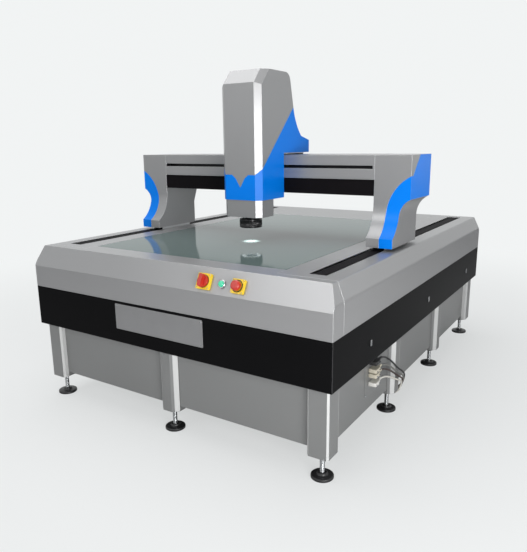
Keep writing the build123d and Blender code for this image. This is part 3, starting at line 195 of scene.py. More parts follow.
def add_noise(tree, coords, scale, detail):
    """A noise texture on given coordinates, its scale from a socket; returns its factor."""
    noise = tree.nodes.new("ShaderNodeTexNoise")
    noise.inputs["Detail"].default_value = detail
    wire(tree, coords, noise.inputs["Vector"])
    wire(tree, scale, noise.inputs["Scale"])
    return noise.outputs["Fac"]


# surface_grain: a slow mottle shades the colour and the gloss, and a fine one gives the orange peel's height
place = surface_grain.nodes.new("ShaderNodeTexCoord").outputs["Object"]
mottle = add_noise(surface_grain, place, ends_in.outputs["Patch Scale"], 5)
grit = add_noise(surface_grain, place, ends_in.outputs["Grain Scale"], 2)
patch = add_math(surface_grain, "SUBTRACT", mottle, 0.5)
speck = add_math(surface_grain, "SUBTRACT", grit, 0.5)
both = add_math(surface_grain, "ADD", patch, add_math(surface_grain, "MULTIPLY", speck, 0.5))
shading = add_math(surface_grain, "MULTIPLY", both, ends_in.outputs["Shade"])
gain = add_math(surface_grain, "ADD", shading, 1.0)
tinted = surface_grain.nodes.new("ShaderNodeVectorMath")
tinted.operation = "SCALE"
wire(surface_grain, ends_in.outputs["Colour"], tinted.inputs[0])
wire(surface_grain, gain, tinted.inputs["Scale"])
wire(surface_grain, tinted.outputs[0], ends_out.inputs["Colour"])
gloss = add_math(surface_grain, "MULTIPLY", both, ends_in.outputs["Spread"])
roughened = add_math(surface_grain, "ADD", gloss, ends_in.outputs["Roughness"])
wire(surface_grain, roughened, ends_out.inputs["Roughness"])
wire(surface_grain, speck, ends_out.inputs["Height"])

# edge_mark: where a rounded edge's normal leaves the face's own normal, the mask rises towards 1
edge_mark, ends_in, ends_out = make_group("edge_mark", [("Radius", FLOAT)], [("Mask", FLOAT), ("Normal", VECTOR)])
rounded = edge_mark.nodes.new("ShaderNodeBevel")
rounded.samples = 4
wire(edge_mark, ends_in.outputs["Radius"], rounded.inputs["Radius"])
face = edge_mark.nodes.new("ShaderNodeNewGeometry")
lean = edge_mark.nodes.new("ShaderNodeVectorMath")
lean.operation = "DOT_PRODUCT"
wire(edge_mark, rounded.outputs["Normal"], lean.inputs[0])
wire(edge_mark, face.outputs["Normal"], lean.inputs[1])
away = add_math(edge_mark, "SUBTRACT", 1.0, lean.outputs["Value"])
sharp = edge_mark.nodes.new("ShaderNodeMapRange")
sharp.inputs["From Max"].default_value = 0.25
wire(edge_mark, away, sharp.inputs["Value"])
wire(edge_mark, sharp.outputs["Result"], ends_out.inputs["Mask"])
wire(edge_mark, rounded.outputs["Normal"], ends_out.inputs["Normal"])

# The sockets of a Mix node that mixes colours
MIX_FIRST, MIX_SECOND, MIX_RESULT = 6, 7, 2


def finish_material(name, colour, rough, metal=0.0, coat=0.0, specular=0.5, shade=0.10, patch=3.0, grain=420.0,
                    spread=0.08, peel=0.0002, edge=0.0015, edge_wear_and_highlight=None):
    """A finished surface: grain on colour, gloss and height, softened edges, and edges of another colour as wear and
    as a painted highlight.

    shade and spread are how far the mottle moves the colour and the roughness, patch and grain the scales of
    the slow and the fine noise, peel the height of the grain and edge the radius of a softened edge, in metres.
    """
    mat = bpy.data.materials.new(name)
    mat.use_nodes = True
    tree = mat.node_tree
    shader = tree.nodes["Principled BSDF"]
    shader.inputs["Metallic"].default_value = metal
    shader.inputs["Coat Weight"].default_value = coat
    shader.inputs["Specular IOR Level"].default_value = specular
    shader.inputs["Coat Roughness"].default_value = 0.08
    grained = tree.nodes.new("ShaderNodeGroup")
    grained.node_tree = surface_grain
    settings = {"Shade": shade, "Patch Scale": patch, "Grain Scale": grain, "Roughness": rough, "Spread": spread}
    for label, value in settings.items():
        grained.inputs[label].default_value = value
    grained.inputs["Colour"].default_value = (*colour, 1)
    edges = tree.nodes.new("ShaderNodeGroup")
    edges.node_tree = edge_mark
    edges.inputs["Radius"].default_value = edge
    tint = grained.outputs["Colour"]
    # Edges take the second colour through the edge mask: in part edge wear, in part a painted highlight where edges
    # catch the light.
    if edge_wear_and_highlight:
        blend = tree.nodes.new("ShaderNodeMix")
        blend.data_type = "RGBA"
        blend.inputs[MIX_SECOND].default_value = (*edge_wear_and_highlight, 1)
        wire(tree, edges.outputs["Mask"], blend.inputs["Factor"])
        wire(tree, tint, blend.inputs[MIX_FIRST])
        tint = blend.outputs[MIX_RESULT]
    wire(tree, tint, shader.inputs["Base Color"])
    wire(tree, grained.outputs["Roughness"], shader.inputs["Roughness"])
    bump = tree.nodes.new("ShaderNodeBump")
    bump.inputs["Strength"].default_value = 0.35
    bump.inputs["Distance"].default_value = peel
    wire(tree, grained.outputs["Height"], bump.inputs["Height"])
    wire(tree, edges.outputs["Normal"], bump.inputs["Normal"])
    wire(tree, bump.outputs["Normal"], shader.inputs["Normal"])
    return mat


def dress(mat, *names):
    """Gives CAD nodes their finished material."""
    for name in names:
        slots = NODES[name].data.materials
        slots.clear()
        slots.append(mat)


def grid_faces(rows, columns, wrap_rows=False, wrap_columns=False):
    """Quads of a rows by columns grid of points, as one index array; a wrapped direction joins its ends."""
    r = np.arange(rows if wrap_rows else rows - 1)[:, None]
    c = np.arange(columns if wrap_columns else columns - 1)[None, :]
    r2, c2 = (r + 1) % rows, (c + 1) % columns
    quads = np.stack([r * columns + c, r * columns + c2, r2 * columns + c2, r2 * columns + c], axis=-1)
    return quads.reshape(-1, 4)


def add_piece(name, points, quads, mat, body, slot, replaces=(), smooth=True):
    """A mesh object from arrays of points and quads, its poles and seams welded, riding on a body."""
    mesh = bpy.data.meshes.new(name)
    mesh.from_pydata(points.reshape(-1, 3).tolist(), [], quads.tolist())
    welded = bmesh.new()
    welded.from_mesh(mesh)
    bmesh.ops.remove_doubles(welded, verts=welded.verts, dist=1e-6)
    bmesh.ops.dissolve_degenerate(welded, edges=welded.edges, dist=1e-7)
    welded.to_mesh(mesh)
    welded.free()
    mesh.polygons.foreach_set("use_smooth", np.full(len(mesh.polygons), smooth))
    mesh.materials.append(mat)
    mesh.update()
    obj = bpy.data.objects.new(name, mesh)
    scene.collection.objects.link(obj)
    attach(obj, body)
    if replaces:
        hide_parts(*replaces)
    return obj


def lathe(profile, sides, centre=(0, 0, 0), along=(0, 0, 1), start=(1, 0, 0)):
    """A profile of (radius, height) pairs turned about an axis.

    A point is the centre, plus the radius times (cos a u + sin a v), plus the height times the axis w.
    """
    profile = np.asarray(profile, float)
    w = np.asarray(along, float) / np.linalg.norm(along)
    u = np.asarray(start, float)
    v = np.cross(w, u)
    a = np.linspace(0, 2 * np.pi, sides, endpoint=False)
    ring = np.cos(a)[:, None] * u + np.sin(a)[:, None] * v
    radius, height = profile[:, 0, None, None], profile[:, 1, None, None]
    points = radius * ring[None] + height * w + np.asarray(centre, float)
    return points, grid_faces(len(profile), sides, wrap_columns=True)


def gather(parts):
    """Joins several (points, quads) pairs into one pair, shifting the quads' numbers."""
    points = [p.reshape(-1, 3) for p, _ in parts]
    starts = np.cumsum([0] + [len(p) for p in points[:-1]])
    return np.vstack(points), np.vstack([q + s for (_, q), s in zip(parts, starts)])


pad_rubber = finish_material("pad_rubber", (0.014, 0.014, 0.015), 0.42, shade=0.5, patch=30, grain=900,
                             edge_wear_and_highlight=(0.05, 0.05, 0.05))
bright_zinc = finish_material("bright_zinc", (0.40, 0.41, 0.42), 0.24, metal=1.0, shade=0.25, patch=60, grain=1500,
                              peel=0.0001)
dress(bright_zinc, "foot_nuts")
dress(pad_rubber, "foot_pads")
pad_profile = [(0.0, 0.0), (0.0428, 0.0), (0.0442, 0.0012), (0.0445, 0.0035), (0.0445, 0.0080), (0.0440, 0.0102),
               (0.0425, 0.0116), (0.0380, 0.0124), (0.0260, 0.0134), (0.0225, 0.0142), (0.0205, 0.0160),
               (0.0198, 0.0200), (0.0190, 0.0216), (0.0165, 0.0224), (0.0108, 0.0226), (0.0, 0.0206)]
pads = gather([lathe(pad_profile, 48, (x, y, 0)) for x, y in feet])
add_piece("pad_mouldings", *pads, pad_rubber, "base", "black_rubber", ["foot_pads"])
THREAD_R, THREAD_DEPTH, THREAD_PITCH = 0.0099, 0.0014, 0.0025
STUD_FOOT, STUD_TOP, STUD_STEPS, STUD_SIDES = 0.0205, 0.1315, 182, 24
turns = np.r_[STUD_FOOT, np.linspace(STUD_FOOT, STUD_TOP, STUD_STEPS), STUD_TOP]


def thread(x, y):
    """A rolled thread: radius falls from its crest by a triangle wave of height and angle along the helix."""
    a = np.linspace(0, 2 * np.pi, STUD_SIDES + 1)[:-1]
    wave = np.abs(((turns[:, None] / THREAD_PITCH - a[None] / (2 * np.pi)) % 1.0) - 0.5) * 2
    r = THREAD_R - THREAD_DEPTH * wave
    r[[0, -1]] = 0
    z = np.broadcast_to(turns[:, None], r.shape)
    points = np.stack([x + r * np.cos(a), y + r * np.sin(a), z], axis=-1)
    return points, grid_faces(len(turns), len(a), wrap_columns=True)


add_piece("stud_threads", *gather([thread(x, y) for x, y in feet]), bright_zinc, "base", "zinc", ["foot_studs"])

# Leg posts and cabinet panels: folded steel painted satin grey, the panels set back between the posts.
# Along the folds the colour is painted brighter, a painted highlight where they catch the light.
grey_satin = finish_material("grey_satin", (0.24, 0.243, 0.242), 0.30, metal=0.35, shade=0.10, patch=2.2, grain=600,
                             edge_wear_and_highlight=(0.34, 0.35, 0.35))
dress(grey_satin, "leg_posts", "cabinet_panels", "control_box")

# Post edges: pale strips folded over the chamfers and flanks of every post, a painted highlight where these faces
# catch the light.
# Each runs from the foot of the post up under the skirt.
POST_FOOT, POST_TOP = 0.0985, 0.3765
CORNER_IN, CORNER_OUT, CHAMFER, RECESS = 0.688, 0.778, 0.008, 0.0268
END_FACE, END_IN = 1.038, 0.948
MIDDLE_HALF, SHOULDER, STRIP_W = 0.050, 0.025, 0.016
SIDE_ROWS = (-0.331, 0.331)
STRIP_OUT, STRIP_IN = 0.0006, 0.0005
painted_highlight_strip = finish_material("painted_highlight_strip", (0.63, 0.635, 0.63), 0.30, metal=0.15, shade=0.05, patch=5, grain=900)


def edge_strip(line):
    """A thin folded strip: a closed profile just outside a plan line and back just inside it, carried up z."""
    line = np.asarray(line, float)
    run = np.gradient(line, axis=0)
    out = np.stack([run[:, 1], -run[:, 0]], axis=-1)
    out /= np.linalg.norm(out, axis=1)[:, None]
    loop = np.vstack([line + STRIP_OUT * out, (line - STRIP_IN * out)[::-1]])
    heights = np.array([POST_FOOT, POST_FOOT, POST_TOP, POST_TOP])
    shut = np.array([0, 1, 1, 0])[:, None, None]
    plan = shut * loop[None] + (1 - shut) * loop.mean(axis=0)
    z = np.broadcast_to(heights[:, None, None], (len(heights), len(loop), 1))
    return np.concatenate([plan, z], axis=-1), grid_faces(len(heights), len(loop), wrap_columns=True)


near, far = 0.05 * CHAMFER, 0.95 * CHAMFER
corner = [
    [(CORNER_IN, END_FACE - RECESS), (CORNER_IN, END_FACE - CHAMFER), (CORNER_IN + CHAMFER, END_FACE)],
    [(CORNER_OUT - far, END_FACE - near), (CORNER_OUT - near, END_FACE - far)],
    [(CORNER_OUT, END_IN + CHAMFER), (CORNER_OUT - CHAMFER, END_IN), (CORNER_OUT - RECESS, END_IN)],
]
middle = np.array([(MIDDLE_HALF, END_FACE - SHOULDER), (MIDDLE_HALF - STRIP_W, END_FACE - SHOULDER + STRIP_W)])
side_in, side_out = MIDDLE_HALF - SHOULDER + STRIP_W, MIDDLE_HALF - SHOULDER
strips = []
for sx in (-1, 1):
    for sy in (-1, 1):
        strips += [np.array(line)[:: sx * sy] * (sx, sy) for line in corner]
for sy in (-1, 1):
    strips += [(middle * (sx, sy))[:: -sx * sy] for sx in (-1, 1)]
for sx in (-1, 1):
    for row in SIDE_ROWS:
        for sy in (-1, 1):
            side = [(sx * (CORNER_OUT - STRIP_W), row + sy * side_in), (sx * CORNER_OUT, row + sy * side_out)]
            strips.append(np.array(side)[:: sx * sy])
folded = gather([edge_strip(line) for line in strips])
add_piece("post_highlight_strips", *folded, painted_highlight_strip, "base", "silver_paint", smooth=False)

# Rear vents: four blocks of louvres in the rear cabinet panels, pressed out of the same painted sheet.
# Each louvre is open below, so that dust stays out and warm air leaves.
REAR_FACE, VENT_FOOT, VENT_STEP, VENT_ROWS = 1.011, 0.185, 0.019, 8
VENT_BLOCKS = (-0.52, -0.22, 0.22, 0.52)
VENT_L, VENT_H, VENT_RISE, VENT_WALL = 0.17, 0.011, 0.0055, 0.001


def louvre(x, z):
    """A pressed louvre: its rise, times a rounded end along u, times a quarter cosine up v, as a thin sheet."""
    v = np.linspace(0, 1, 9)
    u, v = np.meshgrid(np.linspace(-1, 1, 33), np.r_[v, v[::-1]])
    inner = (np.arange(18) > 8)[:, None] * VENT_WALL
    swell = (VENT_RISE - inner) * (1 - np.abs(u) ** 8) * np.cos(v * np.pi / 2) ** 0.8
    points = np.stack([x - u * VENT_L / 2, REAR_FACE + swell, z + v * VENT_H], axis=-1)
    return points, grid_faces(18, 33, wrap_rows=True)


vents = [louvre(x, VENT_FOOT + VENT_STEP * row) for x in VENT_BLOCKS for row in range(VENT_ROWS)]
add_piece("panel_louvres", *gather(vents), grey_satin, "base", "grey_paint")

# Base frame: box section steel, welded and primed dark grey, which carries the granite.
# It stands inside the posts and shows only from below.
primer = finish_material("frame_primer", (0.06, 0.065, 0.07), 0.6, shade=0.3, patch=6)
dress(primer, "base_frame")

# Skirt: a band of black painted sheet round the base, hung from the frame.
# Bright quarter-turn latches hold it along the sides, and its edges are a little worn.
black_gloss = finish_material("black_gloss", (0.006, 0.006, 0.0065), 0.30, specular=0.02, shade=0.3, patch=2.5,
                              grain=700, spread=0.05, edge=0.002, edge_wear_and_highlight=(0.16, 0.16, 0.165))
dress(black_gloss, "front_skirt", "skirt_panels")
dress(bright_zinc, "skirt_latches")

# Front plate: a bare brushed sheet with round corners, riveted to the skirt at its four corners.
# Its rim is rolled over by a fraction of a millimetre.
PLATE_X, PLATE_Z, PLATE_HALF, PLATE_CORNER = -0.014, 0.4975, (0.245, 0.0575), 0.004
RIVET_X, RIVET_Z, RIVET_R = 0.236, 0.0485, 0.0032
PLATE_STEPS = [(0.0, 0.0), (0.0, 0.0011), (0.0006, 0.0016), (0.03, 0.0016)]


def rounded_plate(centre, across, up, half, corner, steps, sides=96):
    """A plate with round corners: rings of a rounded rectangle, each shrunk by an inset and raised by a height.

    steps lists (inset, height) from the wall outwards; both ends close to the centre.
    """
    across, up = np.asarray(across, float), np.asarray(up, float)
    out = np.cross(across, up)
    a = np.linspace(0, 2 * np.pi, sides, endpoint=False) + np.pi / sides
    quarter = np.stack([np.sign(np.cos(a)), np.sign(np.sin(a))], axis=-1)
    bend = np.stack([np.cos(a), np.sin(a)], axis=-1)
    rings = []
    for inset, height in steps:
        radius = max(corner - inset, 1e-5)
        edge = quarter * (np.asarray(half) - inset - radius) + bend * radius
        rings.append(np.asarray(centre) + edge[:, :1] * across + edge[:, 1:] * up + height * out)
    ends = (np.asarray(centre) + steps[end][1] * out for end in (0, -1))
    back, front = (np.broadcast_to(end, (1, sides, 3)) for end in ends)
    rings = np.concatenate([back, rings, front])
    return rings, grid_faces(len(rings), sides, wrap_columns=True)


def screw_head(centre, along, radius, rise=0.55, socket=0.46):
    """A button head: a dome whose height falls as the square of the radius, with a round socket in its middle."""
    r = np.linspace(1.0, socket, 7)
    dome = np.c_[r, rise * (1 - r**2) + 0.12]
    well = [(socket * 0.96, rise * 0.25), (socket * 0.5, rise * 0.18), (0.0, rise * 0.18)]
    profile = np.vstack([[(0.0, 0.0), (1.0, 0.0)], dome, well]) * radius
    side = np.cross(along, (0.31, 0.52, 0.79))
    return lathe(profile, 16, centre, along, side / np.linalg.norm(side))


brushed_plate = finish_material("brushed_plate", (0.30, 0.30, 0.305), 0.34, metal=0.7, shade=0.12, patch=14,
                                grain=1500, edge_wear_and_highlight=(0.5, 0.5, 0.5))
front_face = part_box("front_skirt")[0][1]
plate = rounded_plate((PLATE_X, front_face, PLATE_Z), (1, 0, 0), (0, 0, 1), PLATE_HALF, PLATE_CORNER, PLATE_STEPS)
add_piece("bare_plate", *plate, brushed_plate, "base", "anodised", smooth=False)
corners = [(sx, sz) for sx in (-1, 1) for sz in (-1, 1)]
plate_face = front_face - PLATE_STEPS[-1][1]
rivets = [(PLATE_X + sx * RIVET_X, plate_face, PLATE_Z + sz * RIVET_Z) for sx, sz in corners]
heads = gather([screw_head(place, (0, -1, 0), RIVET_R, socket=0.05) for place in rivets])
add_piece("plate_rivets", *heads, bright_zinc, "base", "zinc")

# Top covers: steel sheet bent over the base and painted silver, in a front, a rear and two side pieces.
# The paint has a fine flake, and its folds are painted near white, a painted highlight where they catch the light.
silver_satin = finish_material("silver_satin", (0.325, 0.325, 0.33), 0.32, metal=0.38, shade=0.07, patch=1.6,
                               grain=1100, spread=0.06, peel=0.00012, edge=0.0024, edge_wear_and_highlight=(0.82, 0.82, 0.83))
dress(silver_satin, "front_cover", "rear_cover", "right_cover", "left_cover")

# Stage: a thick plate of tinted glass, laid in an aluminium frame over a backlight.
# The frame is anodised clear, and the backlight is an opal sheet.
stage_plate = finish_material("stage_plate", (0.128, 0.176, 0.168), 0.07, specular=0.06, shade=0.10, patch=1.2,
                              grain=300, spread=0.04, peel=0.00003)
dress(stage_plate, "stage_glass")
clear_anodised = finish_material("clear_anodised", (0.55, 0.56, 0.57), 0.3, metal=1.0, shade=0.10, patch=8, grain=1400)
dress(clear_anodised, "stage_frame")
opal = finish_material("opal_diffuser", (0.72, 0.74, 0.73), 0.5, shade=0.03)
dress(opal, "backlight_panel")

# Granite bed: a ground slab of black granite on the frame, which carries the stage and the Y guides.
# Its grain is a close speckle of dark and light crystals.
granite = finish_material("granite", (0.05, 0.05, 0.052), 0.25, shade=1.2, patch=120, grain=700)
dress(granite, "granite_bed")

# Slot bands and beam: flexible black bands that close the slots over the Y guides, and the black painted beam.
# The bands run in the covers' edges, and the beam is a steel box on the two leg columns.
band_black = finish_material("band_black", (0.009, 0.008, 0.009), 0.55, specular=0.02, shade=0.3, patch=10, grain=900)
dress(band_black, "slot_bands", "beam")

# Guides and drives: ground steel rails, blocks and ball screw, and magnet tracks with moulded coils.
# Those of the X axis are painted near black, a painted shade for the dark behind the beam's slot where they lie;
# castings are anodised clear.
rail_painted_shade = finish_material("rail_painted_shade", (0.010, 0.010, 0.011), 0.4, metal=0.5, shade=0.3, patch=20, grain=1200)
dress(rail_painted_shade, "x_rails", "x_motor_track", "x_blocks")
ground_steel = finish_material("ground_steel", (0.50, 0.50, 0.51), 0.25, metal=1.0, shade=0.12, patch=20, grain=1600)
dress(ground_steel, "y_rails", "y_motor_tracks", "y_blocks", "z_rails", "z_screw", "z_blocks", "z_nut")
moulded_black = finish_material("moulded_black", (0.015, 0.015, 0.016), 0.45, shade=0.3, patch=40, grain=900)
dress(moulded_black, "y_motor_coils", "x_motor_coil", "z_motor")
dress(clear_anodised, "y_carriages", "leg_columns", "x_carriage", "screw_supports", "z_slide")

# Camera and zoom lens: black moulded and anodised bodies, bolted to the Z slide inside the column.
# Only the lens's lower end shows, inside the ring light.
dress(moulded_black, "camera", "zoom_lens", "ring_light")

# Ring light: a turned aluminium ring, anodised black, with a ribbed grip; six screws clamp it round the lens.
# The profile is in metres from the lens's axis and the ring's foot. Where it is as wide as the grip, the upper
# half of a cosine of the angle draws it in, which leaves the ribs.
LENS_X, LENS_Y, RING_FOOT = 0.043, -0.430, 0.834
LENS_FOOT = np.array((LENS_X, LENS_Y, RING_FOOT))
RING_SIDES, GRIP_R, RIB_COUNT, RIB_DEPTH = 288, 0.0549, 48, 0.0022
ribs = np.array([(0.0275, 0.0550), (0.0275, 0.0030), (0.0290, 0.0010), (0.0485, 0.0005), (0.0530, 0.0006),
                 (0.0545, 0.0022), (0.0548, 0.0060), (0.0548, 0.0100), (GRIP_R, 0.0105), (GRIP_R, 0.0340),
                 (0.0548, 0.0345), (0.0548, 0.0400), (0.0540, 0.0428), (0.0510, 0.0440), (0.0400, 0.0445),
                 (0.0390, 0.0455), (0.0390, 0.0552), (0.0380, 0.0560), (0.0275, 0.0560), (0.0275, 0.0550)])
points, quads = lathe(ribs, RING_SIDES)
angle = np.linspace(0, 2 * np.pi, RING_SIDES, endpoint=False)
gripped = (ribs[:, 0] == GRIP_R)[:, None]
groove = np.clip(np.cos(RIB_COUNT * angle) * 1.6, 0, 1)[None]
points[..., :2] *= np.where(gripped, 1 - RIB_DEPTH / GRIP_R * groove, 1.0)[..., None]
points += LENS_FOOT
ring_black = finish_material("ring_black", (0.012, 0.012, 0.013), 0.22, metal=0.3, shade=0.3, patch=40, grain=900,
                             edge_wear_and_highlight=(0.06, 0.06, 0.06))
add_piece("ribbed_ring", points, quads, ring_black, "z_unit", "black_anodised", ["ring_light"])
CLAMP_R, CLAMP_H = 0.0390, 0.0498
CLAMP_TURNS = (-100, -40, 20, 80, 140, 200)
clamp_turn = [(0.0, -0.004), (0.0030, -0.004), (0.0030, 0.0), (0.0042, 0.0006), (0.0042, 0.0046),
              (0.0034, 0.0054), (0.0, 0.0054)]
clamps = []
for way_deg in CLAMP_TURNS:
    way = np.array((math.cos(math.radians(way_deg)), math.sin(math.radians(way_deg)), 0))
    clamps.append(lathe(clamp_turn, 28, LENS_FOOT + (0, 0, CLAMP_H) + CLAMP_R * way, way, (0, 0, 1)))
add_piece("clamp_screws", *gather(clamps), bright_zinc, "z_unit", "zinc")

# Lamp ring: a frosted ring under the ring light, lit from within by forty small lamps.
# A cosine of the angle makes it swell a little below each lamp.
LAMP_SIDES, LAMP_COUNT, LAMP_SWELL = 240, 40, 0.0002
LAMP_COLOUR, LAMP_GLOW = (0.93, 0.98, 1.0, 1), 1.6
lamp_frost = finish_material("lamp_frost", (0.85, 0.88, 0.90), 0.5, shade=0.04, patch=60)
lamp_shader = lamp_frost.node_tree.nodes["Principled BSDF"]
lamp_shader.inputs["Emission Color"].default_value = LAMP_COLOUR
lamp_shader.inputs["Emission Strength"].default_value = LAMP_GLOW
frost = [(0.0305, 0.0012), (0.0312, 0.0006), (0.0350, 0.0003), (0.0400, 0.0002), (0.0450, 0.0003),
         (0.0478, 0.0006), (0.0482, 0.0012), (0.0482, 0.0018), (0.0305, 0.0018), (0.0305, 0.0012)]
points, quads = lathe(frost, LAMP_SIDES, LENS_FOOT)
bulbs = np.linspace(0, 2 * np.pi, LAMP_SIDES, endpoint=False)
points[2:5, :, 2] -= LAMP_SWELL * np.cos(LAMP_COUNT * bulbs)
add_piece("lamp_ring", points, quads, lamp_frost, "z_unit", "diffuser")

# Lens front: a coated front element, held in the lens by a screwed black ring.
# A small beam from behind it, which moves with it, lights the stage below.
ELEMENT_R, ELEMENT_FOOT, ELEMENT_BULGE, ELEMENT_TOP = 0.0195, 0.0090, 0.0013, 0.0120
coated_lens = finish_material("coated_lens", (0.015, 0.012, 0.03), 0.04, coat=1.0, shade=0.2, patch=20, spread=0.01)
bulge = np.linspace(0, 1, 10)
dome = np.c_[ELEMENT_R * bulge, ELEMENT_FOOT + ELEMENT_BULGE * bulge**2]
element = np.vstack([dome, [(ELEMENT_R, ELEMENT_TOP), (0.0, ELEMENT_TOP)]])
front_element = add_piece("front_element", *lathe(element, 64, LENS_FOOT), coated_lens, "z_unit", "stage_glass")
BEAM_W, BEAM_CONE, BEAM_R, BEAM_H = 3.6, math.radians(70), 0.010, 0.0075
beam = bpy.data.lights.new("lens_beam", "SPOT")
beam.energy, beam.spot_size, beam.spot_blend, beam.shadow_soft_size = BEAM_W, BEAM_CONE, 1.0, BEAM_R
lens_beam = bpy.data.objects.new("lens_beam", beam)
scene.collection.objects.link(lens_beam)
lens_beam.location = LENS_FOOT + (0, 0, BEAM_H)
lens_beam.visible_glossy = False
lens_beam.parent = front_element
holder = [(0.0195, 0.0160), (0.0195, 0.0103), (0.0197, 0.0092), (0.0205, 0.0084), (0.0232, 0.0084),
          (0.0238, 0.0090), (0.0239, 0.0160), (0.0195, 0.0160)]
add_piece("lens_holder", *lathe(holder, 96, LENS_FOOT), ring_black, "z_unit", "black_anodised")

# Gantry and column covers: bent sheet shells in silver paint, screwed over the legs, the beam and the column.
# The beam cover is painted near black inside, a painted shade, so that its slot reads dark.
BEAM_INSIDE_Y, BEAM_INSIDE_TOP = (-0.2945, -0.0255), 1.1765
PAINTED_SHADE_INSIDE = (0.006, 0.006, 0.007, 1)
dress(silver_satin, "leg_covers", "column_cover", "sleeve")
beam_paint = silver_satin.copy()
beam_paint.name = "silver_painted_shade_inside"
tree = beam_paint.node_tree
shader = tree.nodes["Principled BSDF"]
# Inside the beam cover the colour is painted near black: painted shade for the closed beam's dark seen through its
# slot.
axes = tree.nodes.new("ShaderNodeSeparateXYZ")
wire(tree, tree.nodes.new("ShaderNodeTexCoord").outputs["Object"], axes.inputs[0])
behind = add_math(tree, "GREATER_THAN", axes.outputs["Y"], BEAM_INSIDE_Y[0])
before = add_math(tree, "LESS_THAN", axes.outputs["Y"], BEAM_INSIDE_Y[1])
under = add_math(tree, "LESS_THAN", axes.outputs["Z"], BEAM_INSIDE_TOP)
painted_shade_mask = add_math(tree, "MULTIPLY", add_math(tree, "MULTIPLY", behind, before), under)
inside = tree.nodes.new("ShaderNodeMix")
inside.data_type = "RGBA"
inside.inputs[MIX_SECOND].default_value = PAINTED_SHADE_INSIDE
wire(tree, painted_shade_mask, inside.inputs["Factor"])
wire(tree, shader.inputs["Base Color"].links[0].from_socket, inside.inputs[MIX_FIRST])
wire(tree, inside.outputs[MIX_RESULT], shader.inputs["Base Color"])
dress(beam_paint, "beam_cover")
BEAM_REAR, BEAM_SCREW_R = -0.025, 0.005
BEAM_SCREW_X, BEAM_SCREW_Z = (-0.56, -0.28, 0.0, 0.28, 0.56), (1.012, 1.160)
beam_screws = [screw_head((x, BEAM_REAR, z), (0, 1, 0), BEAM_SCREW_R) for x in BEAM_SCREW_X for z in BEAM_SCREW_Z]
add_piece("beam_screws", *gather(beam_screws), bright_zinc, "gantry", "zinc")

# Leg trims and saddle cover: the same bent sheet in blue paint, butted against the silver shells.
# The colour is clear and even, with a low sheen, and its edges are painted a lighter blue as a painted highlight.
blue_satin = finish_material("blue_satin", (0.0005, 0.23, 0.92), 0.32, specular=0.15, shade=0.06, patch=2.0, grain=900,
                             edge_wear_and_highlight=(0.02, 0.30, 0.95))
dress(blue_satin, "leg_trims", "saddle_cover")

# Controls: a main switch, a green pilot lamp and an emergency stop, set through the front cover's bevel.
# Plate and housing are yellow plastic, knob and button red, and both have a black collar and four small screws.
SWITCH_X, SWITCH_SCREW, SWITCH_FACE, SWITCH_SCREW_R = 0.238, 0.0265, 0.012, 0.0024
STOP_X, STOP_SCREW, STOP_FACE, STOP_SCREW_R = 0.401, 0.0232, 0.013, 0.0022
PILOT_COLOUR, PILOT_GLOW = (0.05, 0.75, 0.42, 1), 0.3
BEVEL_UP, BEVEL_OUT = np.array((0, 0.4356, 0.9002)), np.array((0, -0.9002, 0.4356))
BEVEL_MIDDLE = np.array((0, -1.04098, 0.7093))
signal_yellow = finish_material("signal_yellow", (0.90, 0.62, 0.02), 0.32, coat=0.2, shade=0.06, patch=20, grain=900)
dress(signal_yellow, "switch_plate", "estop_plate")
signal_red = finish_material("signal_red", (0.52, 0.022, 0.012), 0.28, coat=0.3, shade=0.08, patch=30, grain=900)
dress(signal_red, "main_switch_knob", "estop_button")
lamp_green = finish_material("lamp_green", (0.03, 0.45, 0.25), 0.12, coat=0.8, shade=0.2, patch=90)
pilot_shader = lamp_green.node_tree.nodes["Principled BSDF"]
pilot_shader.inputs["Emission Color"].default_value = PILOT_COLOUR
pilot_shader.inputs["Emission Strength"].default_value = PILOT_GLOW
dress(lamp_green, "pilot_lens")
dress(bright_zinc, "pilot_bezel")


def on_bevel(x, rise, out):
    """A point on the sloping front: x across, rise up the slope from its middle line, out along its normal."""
    return np.array((x, 0, 0)) + BEVEL_MIDDLE + rise * BEVEL_UP + out * BEVEL_OUT


def four_screws(x, reach, out, radius):
    """Button heads at the four corners of a square of half width reach about a point of the bevel's middle line."""
    places = [on_bevel(x + sx * reach, sz * reach, out) for sx, sz in corners]
    return [screw_head(place, BEVEL_OUT, radius) for place in places]


small_screws = four_screws(SWITCH_X, SWITCH_SCREW, SWITCH_FACE, SWITCH_SCREW_R)
small_screws += four_screws(STOP_X, STOP_SCREW, STOP_FACE, STOP_SCREW_R)
add_piece("control_screws", *gather(small_screws), bright_zinc, "base", "zinc")
switch_turn = [(0.0245, 0.0118), (0.0262, 0.0118), (0.0266, 0.0124), (0.0262, 0.0130), (0.0245, 0.0130),
               (0.0245, 0.0118)]
stop_turn = [(0.0212, 0.0128), (0.0238, 0.0128), (0.0243, 0.0136), (0.0238, 0.0146), (0.0212, 0.0150),
             (0.0212, 0.0128)]
collars = [lathe(profile, 72, on_bevel(x, 0, 0), BEVEL_OUT, (1, 0, 0))
           for profile, x in ((switch_turn, SWITCH_X), (stop_turn, STOP_X))]
add_piece("control_collars", *gather(collars), moulded_black, "base", "black_plastic")

